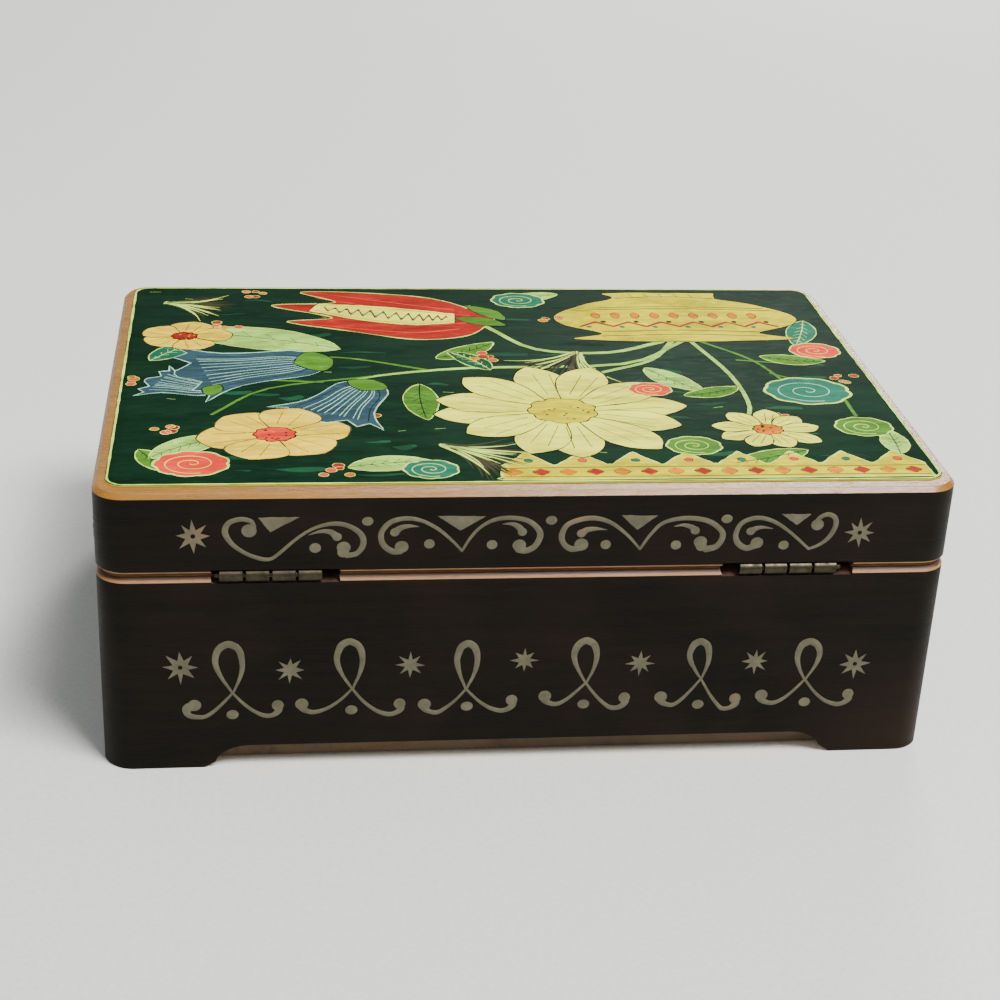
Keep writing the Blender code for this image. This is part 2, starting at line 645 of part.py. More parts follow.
# Bedplate with the comb's bed and the cylinder's bearing post cast on
def make_bedplate(bottom):
    x, y = (BED_LEFT, BED_RIGHT), (BED_SOUTH, BED_NORTH)
    arbor_hole = circle((AXIS_X, BARREL_Y), WINDING_ARBOR + BEARING_GAP)
    shape = plate([rectangle(x, y, BED_CORNER), arbor_hole], FLOOR, BED_TOP)
    bed = add("bedplate", shape, finish="gilt_casting")

    under_comb = AXIS_Z - COMB_THICKNESS / 2 - SEAT_GAP
    extra = block((COMB_ROOT + CLEAR, COMB_BACK), (DRUM_START, DRUM_END), (BED_TOP - 0.5, under_comb))
    half, top = POST_WIDTH / 2, AXIS_Z + POST_OVER
    block((AXIS_X - half, AXIS_X + half), (POST_START, POST_END), (BED_TOP - 0.5, top), into=extra)
    change(bed, tool("bedplate_castings", extra), "UNION")
    bearing = rod((AXIS_X, AXIS_Z), POST_START - 1, POST_END + 1, ARBOR + BEARING_GAP, "Y")
    change(bed, tool("cylinder_bearing", bearing))

    west, east = BED_LEFT + 2.5, BED_RIGHT - 3.0
    places = [(east, BED_SOUTH + 3.5), (east, BED_NORTH - 3.0), (west, BED_SCREW_LINE)]
    seat = PANEL_LIFT + MACHINE_SCREW["height"] + SEAT_GAP
    fit = (MACHINE_SCREW, seat, BED_SCREW_LENGTH, 1, places)
    holes = tool("movement_screw_holes", screw_holes(*fit))
    change(bottom, holes)
    change(bed, holes)
    screws("movement_screw", "steel", *fit)
    return bed


# Comb of eighteen tuned teeth, screwed to its bed
def make_comb(bed):
    step = (DRUM_END - DRUM_START) / COMB_TEETH
    outline = [(COMB_BACK, DRUM_START), (COMB_BACK, DRUM_END)]
    for k in reversed(range(COMB_TEETH)):
        near = DRUM_START + k * step + COMB_SLOT / 2
        far = DRUM_START + (k + 1) * step - COMB_SLOT / 2
        outline += [(COMB_ROOT, far), (COMB_TIP, far), (COMB_TIP, near), (COMB_ROOT, near)]
    low, high = AXIS_Z - COMB_THICKNESS / 2, AXIS_Z + COMB_THICKNESS / 2
    comb = add("comb", plate([outline], low, high), finish="steel")
    line = (COMB_ROOT + COMB_BACK) / 2
    places = [(line, COMB_MIDDLE + way * COMB_SCREW_SPACING / 2) for way in (-1, 1)]
    fit = (MACHINE_SCREW, high + SEAT_GAP, COMB_SCREW_LENGTH, -1, places)
    holes = tool("comb_screw_holes", screw_holes(*fit))
    change(comb, holes)
    change(bed, holes)
    screws("comb_screw", "steel", *fit)


# Cylinder on its arbor, with the gear that drives the governor and the pinion that the barrel drives
def make_cylinder():
    centre = (AXIS_X, AXIS_Z)
    bore = ARBOR + SEAT_GAP
    inner = DRUM_RADIUS - DRUM_WALL
    floor = DRUM_START + 1.2
    profile = [(DRUM_RADIUS, DRUM_START), (DRUM_RADIUS, DRUM_END), (inner, DRUM_END), (inner, floor)]
    profile += [(bore, floor), (bore, DRUM_START)]
    add("pinned_cylinder", turn(profile, centre, "Y", DRUM_STEPS), "cylinder", "brass")

    pinion_y = BARREL_Y + CROWN_RADIUS
    arbor = rod(centre, pinion_y - CROWN_FACE / 2 - 0.2, FRAME_SOUTH + FRAME_PLATE - 0.2, ARBOR, "Y")
    arbor = add("cylinder_arbor", arbor, "cylinder", "steel")

    teeth = gear_outline(CYLINDER_TEETH, MODULE * CYLINDER_TEETH / 2, centre)
    gear = plate([teeth, circle(centre, bore)], GEAR_PLANE, GEAR_PLANE + GEAR_WIDTH, "Y")
    add("cylinder_gear", gear, "cylinder", "brass")

    phase = math.pi / CYLINDER_PINION_TEETH - math.pi / 2
    teeth = gear_outline(CYLINDER_PINION_TEETH, PINION_RADIUS, centre, phase)
    pinion = plate([teeth], pinion_y - CROWN_FACE / 2 - SEAT_GAP, pinion_y + CROWN_FACE / 2, "Y")
    change(arbor, tool("cylinder_pinion", pinion), "UNION")


# Governor train: two arbors, then the worm with the fan
def make_train():
    axis, first, second = (AXIS_X, AXIS_Z), (FIRST_X, FIRST_Z), (SECOND_X, SECOND_Z)
    end = FRAME_NORTH - 0.2
    phase = meshing_phase(CYLINDER_TEETH, 0, axis, FIRST_PINION_TEETH, first)
    teeth = gear_outline(FIRST_PINION_TEETH, MODULE * FIRST_PINION_TEETH / 2, first, phase)
    pinion = plate([teeth], GEAR_PLANE, GEAR_PLANE + GEAR_WIDTH, "Y")
    arbor = add("first_arbor", rod(first, GEAR_PLANE - 0.2, end, TRAIN_ARBOR, "Y"), "first", "steel")
    change(arbor, tool("first_pinion", pinion), "UNION")

    plane = (WHEEL_PLANE, WHEEL_PLANE + WHEEL_WIDTH)
    teeth = gear_outline(FIRST_WHEEL_TEETH, MODULE * FIRST_WHEEL_TEETH / 2, first)
    bore = circle(first, TRAIN_ARBOR + SEAT_GAP)
    add("first_wheel", plate([teeth, bore], *plane, "Y"), "first", "brass")

    phase = meshing_phase(FIRST_WHEEL_TEETH, 0, first, SECOND_PINION_TEETH, second)
    teeth = gear_outline(SECOND_PINION_TEETH, MODULE * SECOND_PINION_TEETH / 2, second, phase)
    arbor = rod(second, FRAME_SOUTH + 0.2, end, TRAIN_ARBOR, "Y")
    arbor = add("second_arbor", arbor, "second", "steel")
    change(arbor, tool("second_pinion", plate([teeth], *plane, "Y")), "UNION")

    teeth = gear_outline(WORM_WHEEL_TEETH, WORM_WHEEL_RADIUS, second, math.pi)
    bore = circle(second, TRAIN_ARBOR + SEAT_GAP)
    plane = (WORM_WHEEL_PLANE, WORM_WHEEL_PLANE + WORM_WHEEL_WIDTH)
    add("worm_wheel", plate([teeth, bore], *plane, "Y"), "second", "brass")


def worm_radius(angle, height):
    """The worm's surface: one right-handed ridge round the core, with the worm wheel's tooth in a groove."""
    turns = (height - SECOND_Z) / WORM_PITCH - angle / (2 * math.pi)
    from_ridge = abs(turns % 1 - 0.5) * WORM_PITCH
    tip = WORM_RADIUS + WORM_RIDGE
    share = min(1, max(0, (0.28 - from_ridge) / 0.18))
    return WORM_CORE + (tip - WORM_CORE) * share


def make_fan():
    rows = WORM_TURNS * WORM_ROWS_PER_TURN
    low = SECOND_Z - WORM_PITCH * WORM_TURNS / 2
    centre = (WORM_X, WORM_Y)
    shape = bmesh.new()
    shaft_low, shaft_high = BED_TOP + CLEAR, FAN_BOTTOM + FAN_HEIGHT + 0.8
    levels = [(shaft_low, None), (low - WORM_PITCH / 2, None)]
    levels += [(low + WORM_PITCH * WORM_TURNS * k / rows, True) for k in range(rows + 1)]
    levels += [(low + WORM_PITCH * (WORM_TURNS + 0.5), None), (shaft_high, None)]
    rings = []
    for height, threaded in levels:
        points = []
        for k in range(ROUND_STEPS):
            angle = 2 * math.pi * k / ROUND_STEPS
            radius = worm_radius(angle, height) if threaded else FAN_SHAFT
            points.append((centre[0] + radius * math.cos(angle), centre[1] + radius * math.sin(angle), height))
        rings.append([shape.verts.new(point) for point in points])
    for lower, upper in zip(rings, rings[1:]):
        for k in range(ROUND_STEPS):
            n = (k + 1) % ROUND_STEPS
            shape.faces.new((lower[k], lower[n], upper[n], upper[k]))
    shape.faces.new(rings[0][::-1])
    shape.faces.new(rings[-1])
    add("governor_worm", shape, "fan", "steel")

    lean = math.degrees(math.asin(FAN_THICKNESS / 2 / FAN_HUB))
    half, thin = FAN_WIDTH / 2, FAN_THICKNESS / 2
    outline = arc((0, 0), FAN_HUB, lean, 180 - lean, 6) + [(-half, thin), (-half, -thin)]
    outline += arc((0, 0), FAN_HUB, 180 + lean, 360 - lean, 6) + [(half, -thin), (half, thin)]
    outline = [(centre[0] + x, centre[1] + y) for x, y in outline]
    bore = circle(centre, FAN_SHAFT + SEAT_GAP)
    fan = plate([outline, bore], FAN_BOTTOM, FAN_BOTTOM + FAN_HEIGHT)
    add("governor_fan", fan, "fan", "brass")


# Governor frame: an arched casting over the train, screwed down at both ends
def make_governor_frame(bed):
    low, inner = BED_TOP + SEAT_GAP, FRAME_PLATE
    south, north = FRAME_SOUTH, FRAME_NORTH
    arch = [(south, low), (south, FRAME_TOP), (north, FRAME_TOP), (north, low), (north - inner, low)]
    arch += [(north - inner, FRAME_CEILING), (south + inner, FRAME_CEILING), (south + inner, low)]
    east = FIRST_X + TRAIN_ARBOR + 2.3
    frame = add("governor_frame", plate([arch], FRAME_WEST, east, "X"), finish="gilt_casting")

    far = AXIS_X + ARBOR + 2.7
    web = (south + 0.1, south + inner - 0.1)
    extra = block((east - 0.5, far), web, (low, AXIS_Z + POST_OVER))
    change(frame, tool("governor_frame_web", extra), "UNION")
    foot_high = low + FRAME_FOOT
    feet = block((FRAME_WEST - FRAME_FOOT_LENGTH / 2, WORM_X + 2.5), (south + 0.3, north - 0.3), (low, foot_high))
    wheel_edge = FIRST_X + MODULE * FIRST_WHEEL_TEETH / 2 + ADDENDUM
    block((wheel_edge + CLEAR, far - 0.2), (south + 0.5, north - 2.0), (low, foot_high), into=feet)
    change(frame, tool("governor_frame_feet", feet), "UNION")

    holes = bmesh.new()
    for centre, size in (((FIRST_X, FIRST_Z), TRAIN_ARBOR), ((SECOND_X, SECOND_Z), TRAIN_ARBOR)):
        rod(centre, south - 1, north + 1, size + BEARING_GAP, "Y", into=holes)
    rod((AXIS_X, AXIS_Z), south - 1, south + 2, ARBOR + BEARING_GAP, "Y", into=holes)
    change(frame, tool("train_bearings", holes))
    worm_hole = rod((WORM_X, WORM_Y), low - 1, FRAME_TOP + 1, FAN_SHAFT + BEARING_GAP)
    change(frame, tool("worm_bearings", worm_hole))

    middle = (wheel_edge + CLEAR + far) / 2 + 0.4
    places = [(FRAME_WEST - FRAME_FOOT_LENGTH / 2 + 1.7, WORM_Y), (middle, WORM_Y - 0.6)]
    fit = (MACHINE_SCREW, foot_high + SEAT_GAP, FRAME_SCREW_LENGTH, -1, places)
    holes = tool("governor_screw_holes", screw_holes(*fit))
    change(frame, holes)
    change(bed, holes)
    screws("governor_screw", "steel", *fit)


# Mainspring barrel with its crown wheel, cover and spring
def make_barrel():
    centre = (AXIS_X, BARREL_Y)
    bore = WINDING_ARBOR + BEARING_GAP
    inner = BARREL_RADIUS - BARREL_WALL
    floor = BARREL_BOTTOM + BARREL_WALL
    profile = [(bore, BARREL_BOTTOM), (BARREL_RADIUS, BARREL_BOTTOM), (BARREL_RADIUS, BARREL_RIM)]
    profile += [(inner, BARREL_RIM), (inner, floor), (bore, floor)]
    add("spring_barrel", turn(profile, centre, steps=DRUM_STEPS), "barrel", "brass")

    cover_top = BARREL_RIM - SEAT_GAP
    cover = ring(centre, cover_top - BARREL_COVER, cover_top, bore, inner - SEAT_GAP, steps=32)
    add("barrel_cover", cover, "barrel", "brass")

    strip = []
    low, high = floor + CLEAR, cover_top - BARREL_COVER - CLEAR
    start, end = WINDING_ARBOR + 2 * CLEAR, inner - MAINSPRING_THICKNESS / 2 - SEAT_GAP
    points = MAINSPRING_TURNS * 14
    for offset in (-MAINSPRING_THICKNESS / 2, MAINSPRING_THICKNESS / 2):
        edge = []
        for k in range(points + 1):
            angle = 2 * math.pi * k / 14
            radius = start + MAINSPRING_THICKNESS / 2 + (end - start) * k / points + offset
            radius = min(radius, end + offset)
            edge.append((centre[0] + radius * math.cos(angle), centre[1] + radius * math.sin(angle)))
        strip += edge if offset < 0 else edge[::-1]
    add("mainspring", plate([strip], low, high), "barrel", "steel")

    inner, outer = CROWN_RADIUS - CROWN_FACE / 2, CROWN_RADIUS + CROWN_FACE / 2
    share = 2 * math.pi / CROWN_TEETH
    tip = CROWN_TOOTH_SHARE / 2 - ADDENDUM * math.tan(math.radians(PRESSURE_ANGLE)) / CROWN_PITCH
    root = CROWN_TOOTH_SHARE / 2 + DEDENDUM * math.tan(math.radians(PRESSURE_ANGLE)) / CROWN_PITCH
    shape = bmesh.new()
    sections = []
    for k in range(CROWN_TEETH):
        top = CROWN_Z + ADDENDUM
        for part, height in ((-root, CROWN_ROOT), (-tip, top), (tip, top), (root, CROWN_ROOT)):
            angle = math.pi / 2 + (k + part) * share
            across = (math.cos(angle), math.sin(angle))
            corners = ((inner, CROWN_BOTTOM), (outer, CROWN_BOTTOM), (outer, height), (inner, height))
            sections.append([shape.verts.new((centre[0] + r * across[0], centre[1] + r * across[1], z))
                             for r, z in corners])
    for here, there in zip(sections, sections[1:] + sections[:1]):
        for i in range(4):
            j = (i + 1) % 4
            shape.faces.new((here[i], here[j], there[j], there[i]))
    add("crown_wheel", shape, "barrel", "brass")


# Bridge over the barrel, with the click that holds the ratchet wheel
def make_bridge(bed):
    centre = (AXIS_X, BARREL_Y)
    near, far = BARREL_RADIUS + BRIDGE_ROOM, BARREL_RADIUS + BRIDGE_ROOM + BRIDGE_LEG
    low = BED_TOP + SEAT_GAP
    arch = [(-far, low), (-near, low), (-near, BRIDGE_BOTTOM), (near, BRIDGE_BOTTOM), (near, low), (far, low)]
    arch = [(AXIS_X + x, z) for x, z in arch + [(far, BRIDGE_TOP), (-far, BRIDGE_TOP)]]
    ends = (BARREL_Y - BRIDGE_WIDTH / 2, BARREL_Y + BRIDGE_WIDTH / 2)
    bridge = add("barrel_bridge", plate([arch], *ends, "Y"), finish="gilt_casting")
    hole = rod(centre, BRIDGE_BOTTOM - 1, BRIDGE_TOP + 1, WINDING_ARBOR + BEARING_GAP)
    change(bridge, tool("winding_bearing", hole))

    leg = (near + far) / 2
    places = [(AXIS_X - leg, BARREL_Y), (AXIS_X + leg, BARREL_Y)]
    fit = (MACHINE_SCREW, BRIDGE_TOP + SEAT_GAP, BRIDGE_SCREW_LENGTH, -1, places)
    holes = tool("bridge_screw_holes", screw_holes(*fit))
    change(bridge, holes)
    change(bed, holes)
    screws("bridge_screw", "steel", *fit)

    nose = RATCHET_RADIUS + 0.5
    click_low = BRIDGE_TOP + SEAT_GAP
    outline = [(nose, 0.1), (nose + 1.2, 0.1), (CLICK_REACH - 1.0, -1.2), (CLICK_REACH + 1.0, -1.2)]
    outline += [(CLICK_REACH + 1.8, 0.6), (CLICK_REACH + 1.2, 2.2), (CLICK_REACH - 1.2, 2.2), (nose, 0.7)]
    outline = [(AXIS_X + x, BARREL_Y + y) for x, y in outline]
    click_high = click_low + RATCHET_THICKNESS
    click = add("click", plate([outline], click_low, click_high), finish="steel")
    pivot = (AXIS_X + CLICK_REACH, BARREL_Y + 0.5)
    stud = rod(pivot, BRIDGE_BOTTOM + SEAT_GAP, click_high + CLICK_HEAD, CLICK_STUD, steps=12)
    change(click, tool("click_stud", stud), "UNION")
    hole = rod(pivot, BRIDGE_BOTTOM - 1, BRIDGE_TOP + 1, CLICK_STUD + SEAT_GAP, steps=12)
    change(bridge, tool("click_stud_hole", hole))


# Key on the winding arbor, which has the ratchet wheel at its top
def make_key():
    centre = (AXIS_X, BARREL_Y)
    bore = WINDING_ARBOR + SEAT_GAP
    lean = math.degrees(math.asin(KEY_BAR / 2 / KEY_HUB))
    outline = arc(centre, KEY_HUB, lean, 180 - lean, 6)
    outline += arc((AXIS_X - KEY_WING + KEY_BAR / 2, BARREL_Y), KEY_BAR / 2, 90, 270, 4)
    outline += arc(centre, KEY_HUB, 180 + lean, 360 - lean, 6)
    outline += arc((AXIS_X + KEY_WING - KEY_BAR / 2, BARREL_Y), KEY_BAR / 2, -90, 90, 4)
    key = plate([outline, circle(centre, bore)], KEY_BOTTOM, KEY_BOTTOM + KEY_HEIGHT)
    add("winding_key", key, "key", "steel")

    top = RATCHET_BOTTOM + RATCHET_THICKNESS + 0.5
    arbor = add("winding_arbor", rod(centre, KEY_BOTTOM + CLEAR, top, WINDING_ARBOR), "key", "steel")

    points = []
    for k in range(RATCHET_TEETH):
        angle = 2 * math.pi * k / RATCHET_TEETH
        for radius, turned in ((RATCHET_RADIUS - RATCHET_DEPTH, -0.05), (RATCHET_RADIUS, 0)):
            points.append((AXIS_X + radius * math.cos(angle + turned), BARREL_Y + radius * math.sin(angle + turned)))
    wheel = plate([points], RATCHET_BOTTOM, RATCHET_BOTTOM + RATCHET_THICKNESS)
    change(arbor, tool("ratchet_wheel", wheel), "UNION")


# Stop: a sprung rod that the closed lid holds down, with a finger beside the fan
def make_stop(bottom):
    centre = (WORM_X, STOP_Y)
    profile = [(0, STOP_BOTTOM), (STOP_ROD, STOP_BOTTOM), (STOP_ROD, STOP_COLLAR_Z), (STOP_COLLAR, STOP_COLLAR_Z)]
    over = STOP_COLLAR_Z + STOP_COLLAR_HEIGHT
    profile += [(STOP_COLLAR, over), (STOP_ROD, over), (STOP_ROD, STOP_TOP), (0, STOP_TOP)]
    add("stop_rod", turn(profile, centre), "stop", "steel")

    lean = math.degrees(math.asin(STOP_FINGER_WIDTH / 2 / STOP_FINGER_HUB))
    outline = arc((0, 0), STOP_FINGER_HUB, lean - 90, 270 - lean, 12)
    half = STOP_FINGER_WIDTH / 2
    outline += [(-half, -FINGER_REACH), (half, -FINGER_REACH)]
    outline = [(WORM_X + x, STOP_Y + y) for x, y in outline]
    bore = circle(centre, STOP_ROD + SEAT_GAP)
    add("stop_finger", plate([outline, bore], FINGER_Z, FINGER_Z + STOP_FINGER), "stop", "brass")

    web = STOP_Y + BRACKET_WEB
    reach = STOP_Y - BRACKET_TAB_REACH
    lower, upper, sheet = FLOOR + BRACKET_LOWER_TAB, FLOOR + BRACKET_UPPER_TAB, BRACKET_SHEET
    side = [(web, FLOOR), (web, lower), (reach, lower), (reach, lower + sheet), (web, lower + sheet), (web, upper)]
    side += [(reach, upper), (reach, upper + sheet), (web + sheet, upper + sheet), (web + sheet, FLOOR + sheet)]
    side += [(web + BRACKET_FOOT, FLOOR + sheet), (web + BRACKET_FOOT, FLOOR)]
    ends = (WORM_X - BRACKET_WIDTH / 2, WORM_X + BRACKET_WIDTH / 2)
    bracket = add("stop_bracket", plate([side], *ends, "X"), finish="steel")
    hole = rod(centre, FLOOR, upper + 2, STOP_ROD + BEARING_GAP)
    change(bracket, tool("stop_rod_guides", hole))
    place = [(WORM_X, web + sheet + BRACKET_FOOT / 2)]
    fit = (WOOD_SCREW, FLOOR + sheet + SEAT_GAP, BRACKET_SCREW_LENGTH, -1, place)
    holes = tool("bracket_screw_hole", screw_holes(*fit))
    change(bracket, holes)
    change(bottom, holes)
    screws("bracket_screw", "steel", *fit)
    make_stop_spring(lower + sheet + CLEAR + COIL_WIRE)


def make_stop_spring(low):
    """The spring under the collar, as one unbroken tube along a helix."""
    rise = COIL_LENGTH / COIL_TURNS
    middles = []
    shape = bmesh.new()
    rings = []
    for k in range(COIL_TURNS * COIL_POINTS + 1):
        angle = 2 * math.pi * k / COIL_POINTS
        out = Vector((math.cos(angle), math.sin(angle), 0))
        along = Vector((-math.sin(angle), math.cos(angle), rise / (2 * math.pi * COIL_RADIUS))).normalized()
        middle = Vector((WORM_X, STOP_Y, low + rise * angle / (2 * math.pi))) + out * COIL_RADIUS
        middles.append(middle)
        across = along.cross(out)
        section = [out * math.cos(t) + across * math.sin(t) for t in
                   (2 * math.pi * n / COIL_RING for n in range(COIL_RING))]
        rings.append([shape.verts.new(middle + point * COIL_WIRE) for point in section])
    for here, there in zip(rings, rings[1:]):
        for i in range(COIL_RING):
            j = (i + 1) % COIL_RING
            shape.faces.new((here[i], here[j], there[j], there[i]))
    shape.faces.new(rings[0][::-1])
    shape.faces.new(rings[-1])
    add("stop_spring", shape, finish="steel")
    apart = COIL_POINTS // 2
    pairs = [(a, b) for i, a in enumerate(middles) for b in middles[i + apart:]]
    gap = min((a - b).length for a, b in pairs) - 2 * COIL_WIRE
    print(f"Least gap of the stop spring to itself: {gap:.2f} mm")


clear_scene()
materials = make_materials()
pivots = make_pivots()
inner_x, inner_y = BOX_WIDTH / 2 - WALL + RABBET_DEPTH, BOX_DEPTH / 2 - WALL + RABBET_DEPTH
rebate = tool("rebate", block((-inner_x, inner_x), (-inner_y, inner_y), (-1, FLOOR)))
case_back, bottom_panel = make_case()
make_compartments()
lid_back = make_lid()
make_hinges(case_back, lid_back)
bedplate = make_bedplate(bottom_panel)
make_comb(bedplate)
make_cylinder()
make_train()
make_fan()
make_governor_frame(bedplate)
make_barrel()
make_bridge(bedplate)
make_key()
make_stop(bottom_panel)
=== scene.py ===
"""A wooden music box seen from its hinge side: stained case, painted bands, picture lid and movement.

Lengths are in millimetres until a mesh or a lamp is made. +X is the box's left as seen from behind,
+Y is the hinge side, +Z is up, and the origin is on the table under the middle of the box.
"""
import json
import math

import bpy
import numpy as np
from mathutils import Matrix, Vector

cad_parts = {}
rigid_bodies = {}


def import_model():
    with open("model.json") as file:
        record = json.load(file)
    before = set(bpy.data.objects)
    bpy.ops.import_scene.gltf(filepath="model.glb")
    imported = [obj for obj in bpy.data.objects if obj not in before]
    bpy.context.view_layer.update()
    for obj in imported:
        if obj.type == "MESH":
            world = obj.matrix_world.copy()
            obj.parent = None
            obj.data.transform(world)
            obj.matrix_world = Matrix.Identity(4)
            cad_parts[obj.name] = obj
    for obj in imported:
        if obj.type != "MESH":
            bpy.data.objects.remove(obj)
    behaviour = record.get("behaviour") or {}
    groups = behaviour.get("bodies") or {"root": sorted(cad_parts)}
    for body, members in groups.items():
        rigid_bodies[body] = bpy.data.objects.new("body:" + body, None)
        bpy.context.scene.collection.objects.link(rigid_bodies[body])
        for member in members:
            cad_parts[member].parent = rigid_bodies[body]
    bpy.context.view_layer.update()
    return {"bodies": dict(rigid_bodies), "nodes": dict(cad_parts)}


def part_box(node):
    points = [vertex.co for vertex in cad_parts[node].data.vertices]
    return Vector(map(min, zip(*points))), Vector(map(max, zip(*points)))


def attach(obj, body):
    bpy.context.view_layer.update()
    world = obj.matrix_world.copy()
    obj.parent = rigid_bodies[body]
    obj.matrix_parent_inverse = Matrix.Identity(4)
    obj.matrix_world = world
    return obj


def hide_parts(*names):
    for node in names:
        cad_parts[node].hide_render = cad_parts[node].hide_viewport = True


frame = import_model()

MM = 0.001
known = set(frame["nodes"].values()) | set(frame["bodies"].values())
for leftover in [o for o in bpy.data.objects if o not in known]:
    bpy.data.objects.remove(leftover)


# Camera
# It stands behind the box, a little to one side of its middle, and looks down at the hinges.
# Its place, directions and focal length were fitted to the edges of the case in the photograph.
CAMERA_PLACE = (45.37, 336.85, 187.83)
CAMERA_FORWARD = (-0.12223, -0.89504, -0.42890)
CAMERA_RIGHT = (-0.99245, 0.11454, 0.04382)
CAMERA_DOWN = (0.00991, 0.43102, -0.90229)
FOCAL_PIXELS = 1934.29
FRAME_PIXELS = 1000
SENSOR = 36.0

view = bpy.data.cameras.new("camera")
view.sensor_width = SENSOR
view.lens = FOCAL_PIXELS * SENSOR / FRAME_PIXELS
view.clip_start = 0.01
view.clip_end = 20
camera = bpy.data.objects.new("camera", view)
turn = Matrix((CAMERA_RIGHT, -Vector(CAMERA_DOWN), -Vector(CAMERA_FORWARD))).transposed()
camera.matrix_world = Matrix.Translation(Vector(CAMERA_PLACE) * MM) @ turn.to_4x4()
bpy.context.scene.collection.objects.link(camera)
bpy.context.scene.camera = camera


# Table and light
# A plain pale table top, a soft lamp high on the picture's right, a small low one beyond the box that puts
# a sheen on the lid's right end, a weak one behind the camera, and a dim sky.
def node(tree, kind, feeds=None, **settings):
    """Adds a shader node. feeds gives each input by name or number, as a value or another node's output."""
    made = tree.nodes.new("ShaderNode" + kind)
    for key, value in settings.items():
        setattr(made, key, value)
    for key, value in (feeds or {}).items():
        if isinstance(value, bpy.types.NodeSocket):
            tree.links.new(value, made.inputs[key])
        else:
            made.inputs[key].default_value = value
    return made


def finish(name, roughness, metallic=0.0, **sockets):
    """A material whose Principled BSDF holds these plain values, with its tree and that node."""
    made = bpy.data.materials.new(name)
    made.use_nodes = True
    tree = made.node_tree
    surface = tree.nodes["Principled BSDF"]
    surface.inputs["Roughness"].default_value = roughness
    surface.inputs["Metallic"].default_value = metallic
    for key, value in sockets.items():
        surface.inputs[key.replace("_", " ")].default_value = value
    return made, tree, surface


def places(tree, scale, rotation=(0, 0, 0)):
    """Object coordinates, in units of the scale given per metre along each axis, turned by the rotation."""
    source = node(tree, "TexCoord").outputs["Object"]
    feeds = {"Vector": source, "Scale": scale, "Rotation": rotation}
    return node(tree, "Mapping", feeds).outputs[0]


def mixed(tree, share, first, second):
    """The colour that runs from the first to the second as the share goes from 0 to 1."""
    feeds = {}
    for key, value in ((0, share), (6, first), (7, second)):
        feeds[key] = (*value, 1) if isinstance(value, tuple) and len(value) == 3 else value
    return node(tree, "Mix", feeds, data_type="RGBA").outputs[2]


def spread(tree, value, low, high, new_low=0.0, new_high=1.0):
    """Stretches a value so that low..high becomes new_low..new_high, held between them."""
    feeds = {"Value": value, "From Min": low, "From Max": high, "To Min": new_low, "To Max": new_high}
    return node(tree, "MapRange", feeds).outputs[0]


def speckle(tree, vector, scale, detail, rough=0.55):
    """Cloudy noise from 0 to 1."""
    feeds = {"Vector": vector, "Scale": scale, "Detail": detail, "Roughness": rough}
    return node(tree, "TexNoise", feeds).outputs[0]


def worked_out(tree, operation, *values):
    """The result of one sum on plain values or other nodes' outputs."""
    return node(tree, "Math", dict(enumerate(values)), operation=operation).outputs[0]


def bumped(tree, surface, height, depth_mm):
    """Feeds a height from 0 to 1 to the surface's normal, with its depth in millimetres."""
    feeds = {"Height": height, "Distance": depth_mm * MM}
    tree.links.new(node(tree, "Bump", feeds).outputs[0], surface.inputs["Normal"])


FLOOR_SIZE = 6000.0
half = FLOOR_SIZE / 2 * MM
table = bpy.data.meshes.new("table_top")
table_corners = [(-half, -half, 0), (half, -half, 0), (half, half, 0), (-half, half, 0)]
table.from_pydata(table_corners, [], [(0, 1, 2, 3)])
table_top = bpy.data.objects.new("table_top", table)
bpy.context.scene.collection.objects.link(table_top)
cloth, tree, surface = finish("pale_table", 0.9)
weave = speckle(tree, places(tree, (1000, 1000, 1000)), 1.1, 3.0)
colour = mixed(tree, spread(tree, weave, 0.3, 0.7), (0.68, 0.69, 0.66), (0.76, 0.77, 0.74))
tree.links.new(colour, surface.inputs["Base Color"])
table.materials.append(cloth)

sky = bpy.data.worlds.new("sky")
sky.use_nodes = True
background = sky.node_tree.nodes["Background"]
background.inputs["Color"].default_value = (0.95, 0.98, 1.0, 1)
background.inputs["Strength"].default_value = 0.42
bpy.context.scene.world = sky


def lamp(name, place, size, power, colour):
    """A square soft lamp that faces the box."""
    light = bpy.data.lights.new(name, "AREA")
    light.size = size * MM
    light.energy = power
    light.color = colour
    made = bpy.data.objects.new(name, light)
    made.location = Vector(place) * MM
    made.rotation_euler = (-Vector(place)).to_track_quat("-Z", "Y").to_euler()
    bpy.context.scene.collection.objects.link(made)


lamp("high_window", (-460, 540, 1250), 520, 38.0, (1.0, 0.985, 0.95))
lamp("near_fill", (300, 1300, 500), 900, 1.6, (1.0, 0.99, 0.96))
lamp("low_window", (-457, -1220, 620), 340, 13.0, (1.0, 0.99, 0.97))


# Case walls
# Four boards of close-grained wood, mitred, rounded at the corners and stained nearly black outside.
# Their rims are chamfered to the bare wood, and each is cut away between two feet.
HALF_X, HALF_Y = 73.0, 51.0
CORNER = 5.3
WALL = 6.0
BODY_TOP = 37.05
SEAM_CHAMFER = 0.85
SOFT_EDGE = 0.12
PAINT_ROOM = 0.06
PANEL_ROOM_TOP = 4.5
PANEL_ROOM_INSET = 3.0
FOOT = 19.0
ARCH_HEIGHT = 4.2
ARCH_COVE = 6.0
HINGE_INSET = 0.8
SEAM_MIDDLE = 37.2
MORTISES = ((-55.5, -32.5), (32.5, 53.8))
MORTISE_DEPTH = 0.7
BARREL_ROOM = 1.45
MORTISE_SIDE = 0.01
CORNER_STEPS = 10
SMALLEST_ROUND = 0.3
FIRST_CORNER = 10


